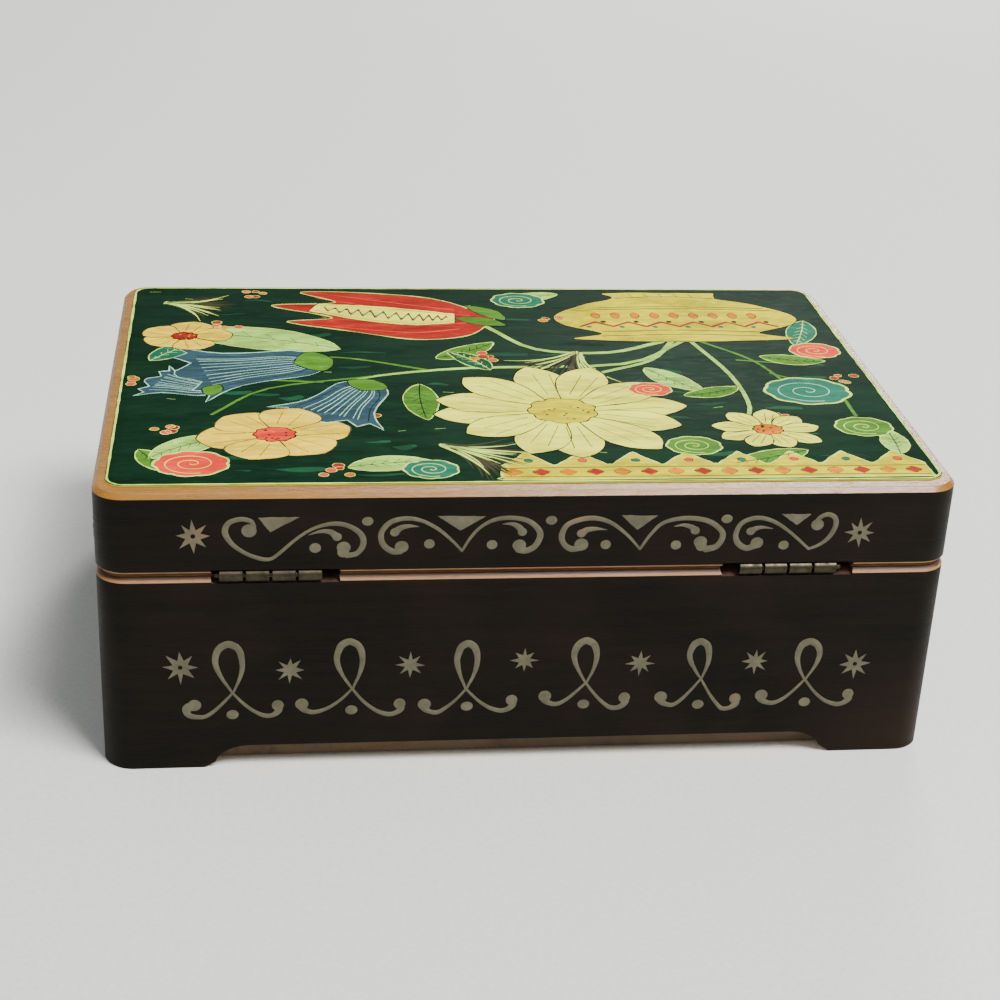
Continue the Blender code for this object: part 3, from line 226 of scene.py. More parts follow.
def stops_along(reach, features):
    """Places along a side: every 4 mm, and close together round its features."""
    stops = list(np.arange(-reach, reach + 0.01, reach / round(reach / 4.0)))
    for place in features:
        stops = [s for s in stops if abs(s - place) > 0.35] + [place]
    return np.array(sorted(stops))


cove = [0.0, 0.06, 0.3, 0.75, 1.4, 2.3, 3.3, 4.5, 6.0]
mortise_ends = np.ravel(MORTISES)
mortise_edges = [end + g for end in mortise_ends for g in (-MORTISE_SIDE, MORTISE_SIDE)]
features_x = [s * (HALF_X - FOOT - c) for s in (-1, 1) for c in cove] + mortise_edges
features_y = [s * (HALF_Y - FOOT - c) for s in (-1, 1) for c in cove]
stops_x = stops_along(HALF_X - CORNER, features_x)
for edge in mortise_ends:
    stops_x = stops_x[abs(stops_x - edge) > 2 * MORTISE_SIDE]
    stops_x = np.sort(np.append(stops_x, [edge - MORTISE_SIDE, edge + MORTISE_SIDE]))
stops_y = stops_along(HALF_Y - CORNER, features_y)
round_angles = np.linspace(0, math.pi / 2, CORNER_STEPS + 1)[1:-1]


def once_round():
    """Once round the box, anticlockwise from above: each point's side, its place along it and its angle.

    The sides are 0 right, 1 back, 2 left and 3 front, and the corner after each is that and FIRST_CORNER.
    """
    side, along, angle = [], [], []
    for k, stops in enumerate((stops_y, stops_x[::-1], stops_y[::-1], stops_x)):
        side += [k] * len(stops) + [k + FIRST_CORNER] * len(round_angles)
        along += list(stops) + [0.0] * len(round_angles)
        angle += [0.0] * len(stops) + list(round_angles + k * math.pi / 2)
    return np.array(side), np.array(along), np.array(angle)


ring_side, ring_along, ring_angle = once_round()


def ring_points(inset, height):
    """Points round the box, at an inset from its outer faces and at a height, either of which may vary.

    On a side the point keeps its place along it; at a corner it lies on an arc whose radius is the outer
    corner's less the inset.
    """
    inset = np.broadcast_to(np.asarray(inset, float), ring_side.shape)
    height = np.broadcast_to(np.asarray(height, float), ring_side.shape)
    radius = np.maximum(CORNER - inset, SMALLEST_ROUND)
    end_x, end_y = HALF_X - inset - radius, HALF_Y - inset - radius
    x, y = np.zeros(len(inset)), np.zeros(len(inset))
    for k, (fixed, way) in enumerate((("x", 1), ("y", 1), ("x", -1), ("y", -1))):
        on = ring_side == k
        if fixed == "x":
            x[on], y[on] = way * (HALF_X - inset[on]), np.clip(ring_along[on], -end_y[on], end_y[on])
        else:
            x[on], y[on] = np.clip(ring_along[on], -end_x[on], end_x[on]), way * (HALF_Y - inset[on])
    at_corner = ring_side >= FIRST_CORNER
    sign_x = np.where(np.isin(ring_side, (FIRST_CORNER, FIRST_CORNER + 3)), 1, -1)
    sign_y = np.where(np.isin(ring_side, (FIRST_CORNER, FIRST_CORNER + 1)), 1, -1)
    x = np.where(at_corner, sign_x * end_x + radius * np.cos(ring_angle), x)
    y = np.where(at_corner, sign_y * end_y + radius * np.sin(ring_angle), y)
    return np.stack([x, y, height], 1)


def grid_faces(rows, columns, close_rows=False):
    """Quads of a grid whose points are numbered row by row, and whose columns close into rings."""
    r = np.arange(rows if close_rows else rows - 1)[:, None]
    c = np.arange(columns)[None, :]
    up, over = (r + 1) % rows, (c + 1) % columns
    faces = np.stack([r * columns + c, r * columns + over, up * columns + over, up * columns + c], -1)
    return faces.reshape(-1, 4)


def closed_faces(rows, columns):
    """The same quads as lists, with one flat face across the first ring and one across the last."""
    last = (rows - 1) * columns
    quads = [list(f) for f in grid_faces(rows, columns)]
    return quads + [list(range(columns))[::-1], list(range(last, last + columns))]


def make_piece(name, parts, materials, body, sharp, replaced=()):
    """Makes one object from parts, each its points in millimetres, its faces and the number of its material.

    A part's faces are turned round if its volume comes out negative, so that all of them point outwards.
    """
    points, faces, numbers, start = [], [], [], 0
    for part_points, part_faces, number in parts:
        part_points = np.asarray(part_points, float)
        lists = [list(f) for f in part_faces]
        volume = 0.0
        for size in set(map(len, lists)):
            same = part_points[np.array([f for f in lists if len(f) == size])]
            for k in range(1, size - 1):
                volume += np.einsum("ij,ij->", same[:, 0], np.cross(same[:, k], same[:, k + 1]))
        if volume < 0:
            lists = [f[::-1] for f in lists]
        points.append(part_points)
        faces += [[i + start for i in f] for f in lists]
        numbers += list(number) if np.ndim(number) else [number] * len(lists)
        start += len(part_points)
    mesh = bpy.data.meshes.new(name)
    mesh.from_pydata((np.concatenate(points) * MM).tolist(), [], faces)
    for material in materials:
        mesh.materials.append(material)
    mesh.polygons.foreach_set("material_index", np.array(numbers, np.int32))
    mesh.shade_smooth()
    mesh.set_sharp_from_angle(angle=math.radians(sharp))
    made = bpy.data.objects.new(name, mesh)
    bpy.context.scene.collection.objects.link(made)
    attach(made, body)
    if replaced:
        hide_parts(*replaced)


def wood_grain_group():
    """Wood figure for coordinates whose first axis runs along the fibres: broad bands, and fine fibres."""
    tree = bpy.data.node_groups.new("wood_figure", "ShaderNodeTree")
    tree.interface.new_socket("Vector", in_out="INPUT", socket_type="NodeSocketVector")
    tree.interface.new_socket("Bands", in_out="OUTPUT", socket_type="NodeSocketFloat")
    tree.interface.new_socket("Fibres", in_out="OUTPUT", socket_type="NodeSocketFloat")
    source = tree.nodes.new("NodeGroupInput").outputs[0]
    out = tree.nodes.new("NodeGroupOutput")
    bands = spread(tree, speckle(tree, source, 0.55, 3.0, 0.5), 0.3, 0.7)
    fibres = spread(tree, speckle(tree, source, 4.5, 5.0, 0.65), 0.3, 0.7)
    tree.links.new(bands, out.inputs[0])
    tree.links.new(fibres, out.inputs[1])
    return tree


wood_group = wood_grain_group()


def figure(tree, scale):
    """The wood figure's two values for object coordinates at this scale."""
    made = node(tree, "Group", {}, node_tree=wood_group)
    tree.links.new(places(tree, scale), made.inputs[0])
    return made.outputs[0], made.outputs[1]


def stained_wood():
    """Nearly black brown stain that lets a little of the fibres through, redder in a few places."""
    made, tree, surface = finish("stained_wood", 0.5, Specular_IOR_Level=0.08)
    bands, fibres = figure(tree, (45, 45, 1500))
    dark = mixed(tree, bands, (0.0028, 0.0022, 0.0014), (0.0050, 0.0038, 0.0024))
    fine = mixed(tree, spread(tree, fibres, 0.45, 1.0, 0, 0.6), dark, (0.0100, 0.0072, 0.0044))
    low = node(tree, "SeparateXYZ", {0: node(tree, "TexCoord").outputs["Object"]})
    towards = spread(tree, low.outputs["X"], -0.045, -0.073, 0, 0.9)
    lower = spread(tree, low.outputs["Z"], 0.022, 0.004, 0, 1)
    patch = spread(tree, speckle(tree, places(tree, (40, 40, 60)), 1.0, 2.0), 0.45, 0.75, 0.0, 0.4)
    red = worked_out(tree, "MAXIMUM", worked_out(tree, "MULTIPLY", towards, lower), patch)
    colour = mixed(tree, red, fine, (0.020, 0.0100, 0.0060))
    tree.links.new(colour, surface.inputs["Base Color"])
    tree.links.new(spread(tree, fibres, 0, 1, 0.42, 0.58), surface.inputs["Roughness"])
    bumped(tree, surface, fibres, 0.035)
    return made


def bare_wood(name, scale, light, dark, roughness, seam=False, gloss=0.45):
    """Unstained wood under thin lacquer, with its fibres along the axis that the scale stretches.

    Where it forms the seam it darkens towards the gap: partly stain and handling, partly painted shade of the
    gap.
    """
    made, tree, surface = finish(name, roughness, Specular_IOR_Level=gloss)
    bands, fibres = figure(tree, scale)
    base = mixed(tree, bands, dark, light)
    deep = tuple(c * 0.55 for c in dark)
    colour = mixed(tree, spread(tree, fibres, 0.55, 1.0, 0, 0.55), base, deep)
    if seam:
        # Painted shade of the seam's gap, together with stain worked into the wood: dark brown near the
        # seam's middle height.
        height = node(tree, "SeparateXYZ", {0: node(tree, "TexCoord").outputs["Object"]}).outputs["Z"]
        away = worked_out(tree, "ABSOLUTE", worked_out(tree, "SUBTRACT", height, SEAM_MIDDLE * MM))
        reach = worked_out(tree, "ADD", away, worked_out(tree, "MULTIPLY", fibres, 0.35 * MM))
        colour = mixed(tree, spread(tree, reach, 0.68 * MM, 0.95 * MM), (0.055, 0.024, 0.012), colour)
    tree.links.new(colour, surface.inputs["Base Color"])
    worn = spread(tree, fibres, 0, 1, roughness - 0.08, roughness + 0.12)
    tree.links.new(worn, surface.inputs["Roughness"])
    bumped(tree, surface, fibres, 0.04)
    return made


stain = stained_wood()
# The rim's wood carries the painted shade of the seam.
rim_wood = bare_wood("bare_rim", (70, 70, 900), (0.36, 0.175, 0.060), (0.23, 0.105, 0.036), 0.5, True)
inner_wood = bare_wood("bare_inside", (60, 60, 700), (0.47, 0.28, 0.13), (0.37, 0.205, 0.09), 0.6)
along_x = bare_wood("rim_grain_x", (50, 950, 950), (0.44, 0.255, 0.115), (0.34, 0.18, 0.078), 0.5)
along_y = bare_wood("rim_grain_y", (950, 50, 950), (0.44, 0.255, 0.115), (0.34, 0.18, 0.078), 0.5)
# The faces of the hinge mortises take wood painted nearly black: painted shade of the recesses round the
# hinges.
mortise_shade_wood = bare_wood("mortise_painted_shade", (900, 500, 500), (0.095, 0.036, 0.020), (0.022, 0.009, 0.006), 0.75)
woods = [stain, rim_wood, inner_wood, mortise_shade_wood, along_x, along_y]
STAINED, RIM, INSIDE, MORTISE_SHADE, ALONG_X, ALONG_Y, BOARD = range(7)

on_back = ring_side == 1
between = [(ring_along > start) & (ring_along < end) for start, end in MORTISES]
in_mortise = on_back & np.any(between, axis=0)
cove_reach = {0: HALF_Y - FOOT, 1: HALF_X - FOOT, 2: HALF_Y - FOOT, 3: HALF_X - FOOT}
foot_end = np.array([cove_reach.get(s, 0.0) for s in ring_side])
past_cove = np.clip((np.abs(ring_along) - (foot_end - ARCH_COVE)) / ARCH_COVE, 0, 1)
lower_edge = np.where(ring_side < FIRST_CORNER, ARCH_HEIGHT * np.sqrt(1 - past_cove ** 2), 0.0)


def lathe_rows(rows):
    """A closed grid whose rows are pairs of inset and height round the box."""
    return np.concatenate([ring_points(inset, height) for inset, height in rows])


def in_cut(inside, outside):
    """A value that differs where the hinge mortises are."""
    return np.where(in_mortise, inside, outside)


trough = HINGE_INSET + math.sqrt(BARREL_ROOM ** 2 - (SEAM_MIDDLE - BODY_TOP + MORTISE_DEPTH) ** 2)
trough_edge = math.sqrt(BARREL_ROOM ** 2 - (HINGE_INSET - PAINT_ROOM) ** 2)
cut_floor = BODY_TOP - MORTISE_DEPTH
stain_top = in_cut(SEAM_MIDDLE - trough_edge, BODY_TOP - SEAM_CHAMFER)
FOOT_ROUND = 0.14
stain_low = lower_edge + FOOT_ROUND
side_rows = [(PAINT_ROOM, stain_low + (stain_top - stain_low) * t) for t in np.linspace(0, 1, 9)]
rim_out, rim_in = in_cut(0.35, PAINT_ROOM + SOFT_EDGE / 2), in_cut(trough, SEAM_CHAMFER + SOFT_EDGE)
rim_top = in_cut(cut_floor, BODY_TOP)
rows = [(0.2, lower_edge)] + side_rows
rows += [(rim_out, in_cut(SEAM_MIDDLE - BARREL_ROOM * 0.95, stain_top + SOFT_EDGE)),
         (in_cut(HINGE_INSET, SEAM_CHAMFER), in_cut(SEAM_MIDDLE - BARREL_ROOM, BODY_TOP - SOFT_EDGE / 2)),
         (rim_in, rim_top), (WALL - SOFT_EDGE, rim_top), (WALL, rim_top - SOFT_EDGE),
         (WALL, 20.0), (WALL, PANEL_ROOM_TOP), (PANEL_ROOM_INSET, PANEL_ROOM_TOP),
         (PANEL_ROOM_INSET, np.minimum(lower_edge, PANEL_ROOM_TOP - 0.05))]
case_points = lathe_rows(rows)
columns = len(ring_side)
STAINED_ROWS = len(side_rows)
face_rows = np.repeat(np.arange(len(rows)), columns)
case_numbers = np.where(face_rows < STAINED_ROWS, STAINED, RIM)
case_numbers = np.where(face_rows >= STAINED_ROWS + 3, INSIDE, case_numbers)
runs_along = np.where(np.isin(ring_side, (1, 3)), ALONG_X, ALONG_Y)
case_numbers = np.where(face_rows == STAINED_ROWS + 3, np.tile(runs_along, len(rows)), case_numbers)
# The case's mortise faces get the painted shade of their recess.
mortise_shade_columns = np.tile(in_mortise | np.roll(in_mortise, -1), len(rows))
mortise_shade_rows = (face_rows >= STAINED_ROWS) & (face_rows <= STAINED_ROWS + 4)
case_numbers = np.where(mortise_shade_rows & mortise_shade_columns, MORTISE_SHADE, case_numbers)

rng = np.random.default_rng(11)


def roughen(points, rows, first, last):
    """Moves the points of the mortise floors and ends a little, as a chisel leaves them."""
    shaped = points.reshape(len(rows), columns, 3)
    floors = np.tile(in_mortise, (last - first, 1))
    ends = on_back & (np.abs(ring_along[:, None] - mortise_ends).min(1) < 0.5)
    shaped[first:last, :, 2] += np.where(floors, rng.uniform(-0.05, 0.05, floors.shape), 0)
    shaped[first:last, :, 0] += np.where(ends, rng.uniform(-0.25, 0.25, floors.shape), 0)


roughen(case_points, rows, STAINED_ROWS + 2, STAINED_ROWS + 4)
case_faces = grid_faces(len(rows), columns, close_rows=True)
make_piece("case_shell", [(case_points, case_faces, case_numbers)], woods, "case", 30.0,
           ("case_back", "case_front", "case_left", "case_right"))


# Lid
# A shallow tray turned over: four rails and a top board, stained outside like the case.
# The lower rim and the edge of the top board are chamfered to the bare wood.
LID_BOTTOM = 37.35
LID_TOP = 52.25
LID_CEILING = 49.0
LID_EDGE = 0.8

roof_cut = LID_BOTTOM + MORTISE_DEPTH
stain_low = in_cut(SEAM_MIDDLE + trough_edge, LID_BOTTOM + SEAM_CHAMFER)
stain_high = LID_TOP - LID_EDGE
side_rows = [(PAINT_ROOM, stain_low + (stain_high - stain_low) * t) for t in np.linspace(0, 1, 7)]
lid_foot = in_cut(roof_cut, LID_BOTTOM)
lid_rows = [(WALL, LID_CEILING), (WALL, 44.0), (WALL, lid_foot + SOFT_EDGE),
            (WALL - SOFT_EDGE, lid_foot), (rim_in, lid_foot),
            (in_cut(HINGE_INSET, SEAM_CHAMFER),
             in_cut(SEAM_MIDDLE + BARREL_ROOM, LID_BOTTOM + SOFT_EDGE / 2)),
            (rim_out, in_cut(SEAM_MIDDLE + BARREL_ROOM * 0.95, stain_low - SOFT_EDGE))]
FIRST_STAINED = len(lid_rows)
lid_rows += side_rows
lid_rows += [(PAINT_ROOM + SOFT_EDGE / 2, stain_high + SOFT_EDGE / 2),
             (LID_EDGE - SOFT_EDGE / 2, LID_TOP - SOFT_EDGE),
             (LID_EDGE + SOFT_EDGE, LID_TOP), (WALL, LID_TOP)]
lid_points = lathe_rows(lid_rows)
bands = len(lid_rows) - 1
first_board = FIRST_STAINED + len(side_rows) - 1
face_rows = np.repeat(np.arange(bands), columns)
lid_numbers = np.where((face_rows >= FIRST_STAINED) & (face_rows < first_board), STAINED, RIM)
lid_numbers = np.where(face_rows < 3, INSIDE, lid_numbers)
lid_numbers = np.where(face_rows == 3, np.tile(runs_along, bands), lid_numbers)
lid_numbers = np.where(face_rows >= first_board, BOARD, lid_numbers)
# The lid's mortise faces get the painted shade of their recess.
mortise_shade_columns = np.tile(in_mortise | np.roll(in_mortise, -1), bands)
mortise_shade_rows = (face_rows >= 2) & (face_rows < FIRST_STAINED)
lid_numbers = np.where(mortise_shade_rows & mortise_shade_columns, MORTISE_SHADE, lid_numbers)
roughen(lid_points, lid_rows, 3, 5)
board = bare_wood("bare_top_edge", (55, 1100, 1100), (0.34, 0.148, 0.009), (0.23, 0.090, 0.005), 0.25,
                  gloss=0.65)
lid_parts = [(lid_points, closed_faces(len(lid_rows), columns), [*lid_numbers, ALONG_X, BOARD])]
make_piece("lid_shell", lid_parts, woods + [board], "lid", 30.0,
           ("lid_back", "lid_left", "lid_front", "lid_right", "lid_top_panel"))


# Painted bands
# Silvery grey paint laid on with a brush: a row of loops and stars round the case, scrolls round the lid.
# Each stroke swells and thins as the brush is pressed and lifted, and stands a hair proud of the stain.
PAINT_DEPTH = 0.05
DAB_LIFT, NEXT_LIFT = 0.004, 0.002
OVER_ITSELF = 0.008
STAR_TIPS = 8
STROKE_SECTION = np.array([(-1.0, -0.02), (1.0, -0.02), (0.9, 0.8), (0.0, 1.0), (-0.9, 0.8)])


def through(points, per_span):
    """A smooth curve through the points.

    Between two of them it is a cubic whose slope at each is half the step from its neighbour before to its
    neighbour after.
    """
    points = np.asarray(points, float)
    ends = np.concatenate([2 * points[:1] - points[1:2], points, 2 * points[-1:] - points[-2:-1]])
    a, b, c, d = (ends[k:len(ends) - 3 + k, None] for k in range(4))
    t = np.linspace(0, 1, per_span, endpoint=False)[None, :, None]
    square, cube = 2 * a - 5 * b + 4 * c - d, 3 * b - a - 3 * c + d
    curve = 0.5 * (2 * b + (c - a) * t + square * t ** 2 + cube * t ** 3)
    return np.concatenate([curve.reshape(-1, points.shape[1]), points[-1:]])


def stroke(points, widths, lift=0.0, per_span=8, depth=PAINT_DEPTH, round_ends=True, end_rows=5):
    """A brush stroke: a low five-sided section carried along a curve, with the widths given at its points.

    Where its ends are round, each runs on for its own half width, narrowing as a half circle does.
    """
    line = through(np.column_stack([points, widths]), per_span)
    middle, width = line[:, :2], np.maximum(line[:, 2], 0.02) / 2
    if round_ends:
        round_end = np.linspace(0.12, math.pi / 2, end_rows)
        t, narrow = np.cos(round_end)[:, None], np.sin(round_end)
        first = middle[0] - middle[1]
        last = middle[-1] - middle[-2]
        before = middle[0] + first / np.linalg.norm(first) * width[0] * t
        after = middle[-1] + last / np.linalg.norm(last) * width[-1] * t[::-1]
        middle = np.concatenate([before[:-1], middle, after[1:]])
        width = np.concatenate([width[0] * narrow[:-1], width, width[-1] * narrow[::-1][1:]])
    slope = np.gradient(middle, axis=0)
    slope /= np.linalg.norm(slope, axis=1)[:, None] + 1e-12
    across = np.column_stack([-slope[:, 1], slope[:, 0]])
    out, up = STROKE_SECTION.T
    flat = middle[:, None] + across[:, None] * (out[None, :, None] * width[:, None, None])
    height = np.broadcast_to(up * depth + lift, flat.shape[:2])
    body = np.concatenate([flat, height[..., None]], -1).reshape(-1, 3)
    return body, closed_faces(len(middle), len(STROKE_SECTION))


def patch(outline, lift=0.0, depth=PAINT_DEPTH):
    """A patch of paint inside an outline, with its edge falling away."""
    outline = np.asarray(outline, float)
    count = len(outline)
    low = np.column_stack([outline, np.full(count, lift - 0.02 * depth)])
    high = np.column_stack([outline, np.full(count, lift + depth)])
    return np.concatenate([low, high]), closed_faces(2, count)


def disc(x, y, radius, squash=1.0, steps=20):
    """The outline of a dab of the brush: a circle, or an ellipse."""
    t = np.linspace(0, 2 * math.pi, steps, endpoint=False)
    return np.column_stack([x + radius * np.cos(t), y + squash * radius * np.sin(t)])


def star(x, y, reach, random):
    """The outline of a star painted by hand: tips and notches at uneven distances from its middle."""
    ends = np.arange(2 * STAR_TIPS)
    angles = ends * math.pi / STAR_TIPS + random.uniform(-0.07, 0.07, len(ends))
    radii = np.where(ends % 2, 0.42, 1.0) * reach * random.uniform(0.88, 1.06, len(ends))
    return np.column_stack([x + radii * np.cos(angles), y + radii * np.sin(angles)])


# Each side of the box: its middle, the way to the right as one faces it, and the way out of it
FACES_OF_BOX = {"back": ((0, HALF_Y - PAINT_ROOM), (-1, 0), (0, 1)),
                "front": ((0, PAINT_ROOM - HALF_Y), (1, 0), (0, -1)),
                "right": ((HALF_X - PAINT_ROOM, 0), (0, 1), (1, 0)),
                "left": ((PAINT_ROOM - HALF_X, 0), (0, -1), (-1, 0))}
SILVER, PIERCED = 0, 1


def onto(side, shape, paint=SILVER):
    """Puts a flat shape on a side of the box, as a part of a piece.

    Its first number runs to the right as one faces that side, its second is the height, and its third
    stands out from the side.
    """
    start, right, out = (np.array(v, float) for v in FACES_OF_BOX[side])
    points, faces = shape
    flat = start + points[:, :1] * right + points[:, 2:] * out
    return np.column_stack([flat, points[:, 1]]), faces, paint


# Loops, from the left as seen from behind: top, crossing, left tip, right tip, the dot below, half width
LOOPS = (((-51.2, 25.1), (-50.6, 14.9), (-57.2, 12.5), (-42.9, 12.2), (-50.7, 10.6), 2.25),
         ((-30.8, 25.2), (-30.3, 15.2), (-39.0, 12.3), (-22.0, 12.0), (-30.4, 11.0), 2.15),
         ((-10.6, 24.4), (-10.6, 14.7), (-17.9, 11.7), (-2.5, 12.2), (-10.4, 11.2), 1.75),
         ((9.9, 24.5), (10.3, 15.4), (3.1, 12.8), (17.4, 12.2), (10.1, 11.1), 1.95),
         ((30.0, 23.9), (30.7, 15.7), (23.7, 12.1), (37.3, 11.5), (30.6, 10.5), 1.7),
         ((49.6, 23.5), (49.5, 15.1), (41.8, 12.0), (57.8, 11.9), (49.9, 10.5), 1.95))
LOOP_TOP_INSET = 0.7
# Stars between them: place and reach
LOOP_STARS = ((-59.3, 20.1, 3.3), (-40.9, 19.2, 2.6), (-20.4, 19.7, 2.6), (-0.7, 20.2, 2.4),
              (19.6, 19.1, 2.5), (40.1, 19.0, 2.5), (58.2, 18.1, 3.1))
# The ring of a loop: shares of its height, and there its half width and its stroke's width
EGG_HEIGHTS = (0.1, 0.28, 0.48, 0.66, 0.83, 0.945, 1.0)
EGG_WIDTHS = (0.24, 0.62, 0.92, 1.0, 0.86, 0.55, 0.0)
EGG_STROKE = (0.46, 0.60, 0.85, 1.0, 1.18, 1.26, 1.28)


def loop_parts(top, crossing, left, right, dot, half_width, random, curled=False):
    """One loop: a tail from its left tip, an egg-shaped ring, over itself, and a tail to its right tip.

    Each tail starts as a round dab, falls away from it and rises to the crossing along a quadratic curve,
    whose knee lies beside the crossing. The ring's half width and stroke are given at shares of its height.
    """
    (tx, tz), (cx, cz), (lx, lz), (rx, rz) = top, crossing, left, right
    tz -= LOOP_TOP_INSET
    heights, halves, widths = np.array(EGG_HEIGHTS), np.array(EGG_WIDTHS), np.array(EGG_STROKE)
    lean = cx + (tx - cx) * np.minimum(heights * 1.6, 1.0)
    z = cz + heights * (tz - cz)
    up = np.column_stack([lean + halves * half_width, z, widths])
    down = np.column_stack([lean - halves * half_width, z, widths * 1.04])[::-1]
    left_start = (lx + 1.4, lz - 2.3, 0.85) if curled else (lx + 2.3, lz - 1.6, 0.84)
    right_start = (rx - 2.2, rz - 2.0, 0.88)
    left_tail = [(lx, lz, 1.7), (lx + 0.25, lz - 0.75, 1.4), (lx + 1.05, lz - 1.4, 0.95), left_start]
    if curled:
        left_tail = [(lx, lz, 1.9), (lx - 1.25, lz - 0.6, 1.5), (lx - 0.8, lz - 1.9, 1.1), left_start]
    right_tail = [(rx - 0.1, rz, 1.6), (rx + 0.05, rz - 1.0, 1.3), (rx - 0.85, rz - 1.85, 0.95), right_start]
    for tail, start, way in ((left_tail, left_start, -1), (right_tail, right_start, 1)):
        knee = (cx + way * 3.3, start[1] + 0.35)
        for t, width in ((0.35, 0.7), (0.7, 0.56)):
            shares = ((1 - t) ** 2, 2 * t * (1 - t), t ** 2)
            x, z = (sum(share * p[k] for share, p in zip(shares, (start, knee, (cx, cz)))) for k in (0, 1))
            tail.append((x, z, width))
        tail.append((cx, cz, 0.44))
    right_tail = right_tail[::-1]
    first = np.concatenate([left_tail, up, down[1:2]])
    second = np.concatenate([up[-2:], down[1:], right_tail])
    for path in (first, second):
        path[:, 2] *= random.uniform(0.95, 1.05, len(path))
        path[:, :2] += random.uniform(-0.04, 0.04, (len(path), 2))
    return [stroke(first[:, :2], first[:, 2]), stroke(second[:, :2], second[:, 2], OVER_ITSELF),
            patch(disc(lx + 0.1, lz + 0.1, 1.14, 0.96), DAB_LIFT),
            patch(disc(rx - 0.1, rz + 0.05, 1.02, 1.02), DAB_LIFT), patch(disc(*dot, 1.05, 0.86))]


# Scrolls of the lid, from the left as seen from behind. Each has its strokes, as places and widths, the dabs
# that end them and stand under them, as places and radii, and the wedge between its arms.
END_SCROLL = (
    [[(-46.6, 46.5, 0.6), (-47.2, 47.4, 0.85), (-48.9, 47.8, 0.9), (-50.8, 47.1, 0.95), (-51.4, 45.4, 1.0),
      (-50.3, 43.3, 0.85), (-48.2, 41.6, 0.75), (-46.0, 40.6, 0.7), (-44.2, 40.4, 0.65), (-42.8, 41.3, 0.6),
      (-40.0, 43.9, 0.55), (-37.7, 45.6, 0.55), (-35.5, 46.5, 0.65), (-33.2, 46.8, 0.75), (-30.9, 46.2, 0.9),
      (-29.1, 44.7, 1.05), (-28.8, 42.9, 1.05), (-29.8, 41.3, 1.0), (-31.4, 40.9, 1.0)],
     [(-37.8, 44.8, 0.1), (-35.9, 45.4, 0.6), (-34.3, 45.3, 1.0), (-33.2, 44.5, 1.3)]],
    [(-47.5, 45.7, 1.25), (-32.0, 42.4, 1.15), (-32.1, 41.5, 0.95), (-33.1, 44.4, 0.78), (-36.7, 42.4, 0.95)],
    [(-46.0, 48.1), (-39.2, 48.1), (-44.1, 45.4)])
MIDDLE_SCROLL = (
    [[(-22.7, 41.6, 1.2), (-24.0, 41.6, 1.05), (-25.5, 42.9, 1.0), (-25.8, 45.0, 1.0), (-24.4, 46.9, 0.9),
      (-22.0, 47.6, 0.85), (-19.3, 47.2, 0.7), (-16.4, 45.6, 0.6), (-14.0, 43.4, 0.55), (-12.3, 41.5, 0.45)],
     [(-12.3, 41.5, 0.45), (-10.9, 44.0, 0.55), (-9.3, 45.9, 0.6), (-7.0, 47.2, 0.7), (-4.1, 47.5, 0.85),
      (-1.2, 46.8, 0.95), (0.7, 44.7, 1.05), (0.1, 42.4, 1.05), (-1.4, 41.4, 1.1), (-2.8, 41.6, 1.2)],
     [(-23.6, 45.1, 1.3), (-22.6, 45.9, 1.0), (-21.2, 46.2, 0.6), (-19.6, 46.1, 0.1)],
     [(-5.7, 46.4, 0.1), (-4.2, 46.4, 0.6), (-3.1, 45.9, 1.0), (-2.3, 45.0, 1.3)]],
    [(-22.4, 42.4, 1.15), (-2.7, 42.4, 1.15), (-23.6, 45.1, 0.78), (-2.3, 44.9, 0.78), (-17.8, 42.9, 0.9),
     (-7.3, 42.6, 0.9)],
    [(-16.5, 48.0), (-8.5, 47.9), (-12.7, 45.3)])
MIDDLE_AT = -12.4
FAR_MIDDLE_SCROLL = (
    [[(7.5, 41.8, 1.2), (6.1, 41.6, 1.05), (4.8, 42.6, 1.0), (4.4, 44.3, 1.0), (5.5, 46.3, 0.95),
      (8.9, 47.3, 0.85), (12.2, 46.6, 0.7), (15.3, 44.3, 0.6), (17.9, 41.4, 0.45)],
     [(17.9, 41.4, 0.45), (19.5, 44.1, 0.55), (21.6, 46.3, 0.65), (25.3, 47.1, 0.8), (29.2, 46.5, 0.95),
      (31.6, 44.7, 1.05), (31.9, 43.2, 1.05), (31.0, 41.7, 1.1), (29.3, 41.2, 1.2)],
     [(7.7, 44.4, 1.3), (8.6, 45.1, 1.0), (10.2, 45.3, 0.6), (12.0, 45.1, 0.1)],
     [(23.4, 45.6, 0.1), (25.0, 45.8, 0.6), (26.4, 45.4, 1.0), (27.2, 44.7, 1.3)]],
    [(7.8, 42.4, 1.2), (28.2, 42.6, 1.15), (28.4, 41.8, 0.95), (7.7, 44.5, 0.78), (27.1, 44.8, 0.78),
     (11.95, 42.34, 0.9), (24.0, 42.1, 0.9)],
    [(14.3, 47.8), (20.5, 47.65), (17.15, 45.0)])
FAR_END_SCROLL = (
    [[(37.6, 41.7, 1.2), (36.2, 41.3, 1.05), (34.7, 42.3, 1.0), (34.2, 44.0, 0.95), (35.1, 46.1, 0.9),
      (37.6, 47.0, 0.8), (40.5, 46.3, 0.7), (43.5, 44.3, 0.6), (47.2, 41.0, 0.5)],
     [(47.2, 41.0, 0.5), (49.0, 41.8, 0.65), (50.5, 43.2, 0.8), (51.4, 45.3, 0.9), (51.1, 46.9, 0.9),
      (49.8, 47.5, 0.85), (48.5, 46.9, 0.85), (48.1, 45.9, 1.2)],
     [(36.7, 44.4, 1.3), (37.6, 45.0, 0.9), (38.9, 45.2, 0.5), (40.5, 44.95, 0.1)]],
    [(38.0, 42.3, 1.1), (48.2, 45.6, 1.1), (36.7, 44.5, 0.75), (42.7, 41.8, 0.9)],
    [(41.8, 47.65), (47.0, 47.65), (44.6, 45.6)])


def moved(shapes, shift=0.0, way=1):
    """A copy of scroll points, mirrored where the way is -1, and then shifted along."""
    shapes = np.array(shapes, float)
    shapes[:, 0] = shapes[:, 0] * way + shift
    return shapes


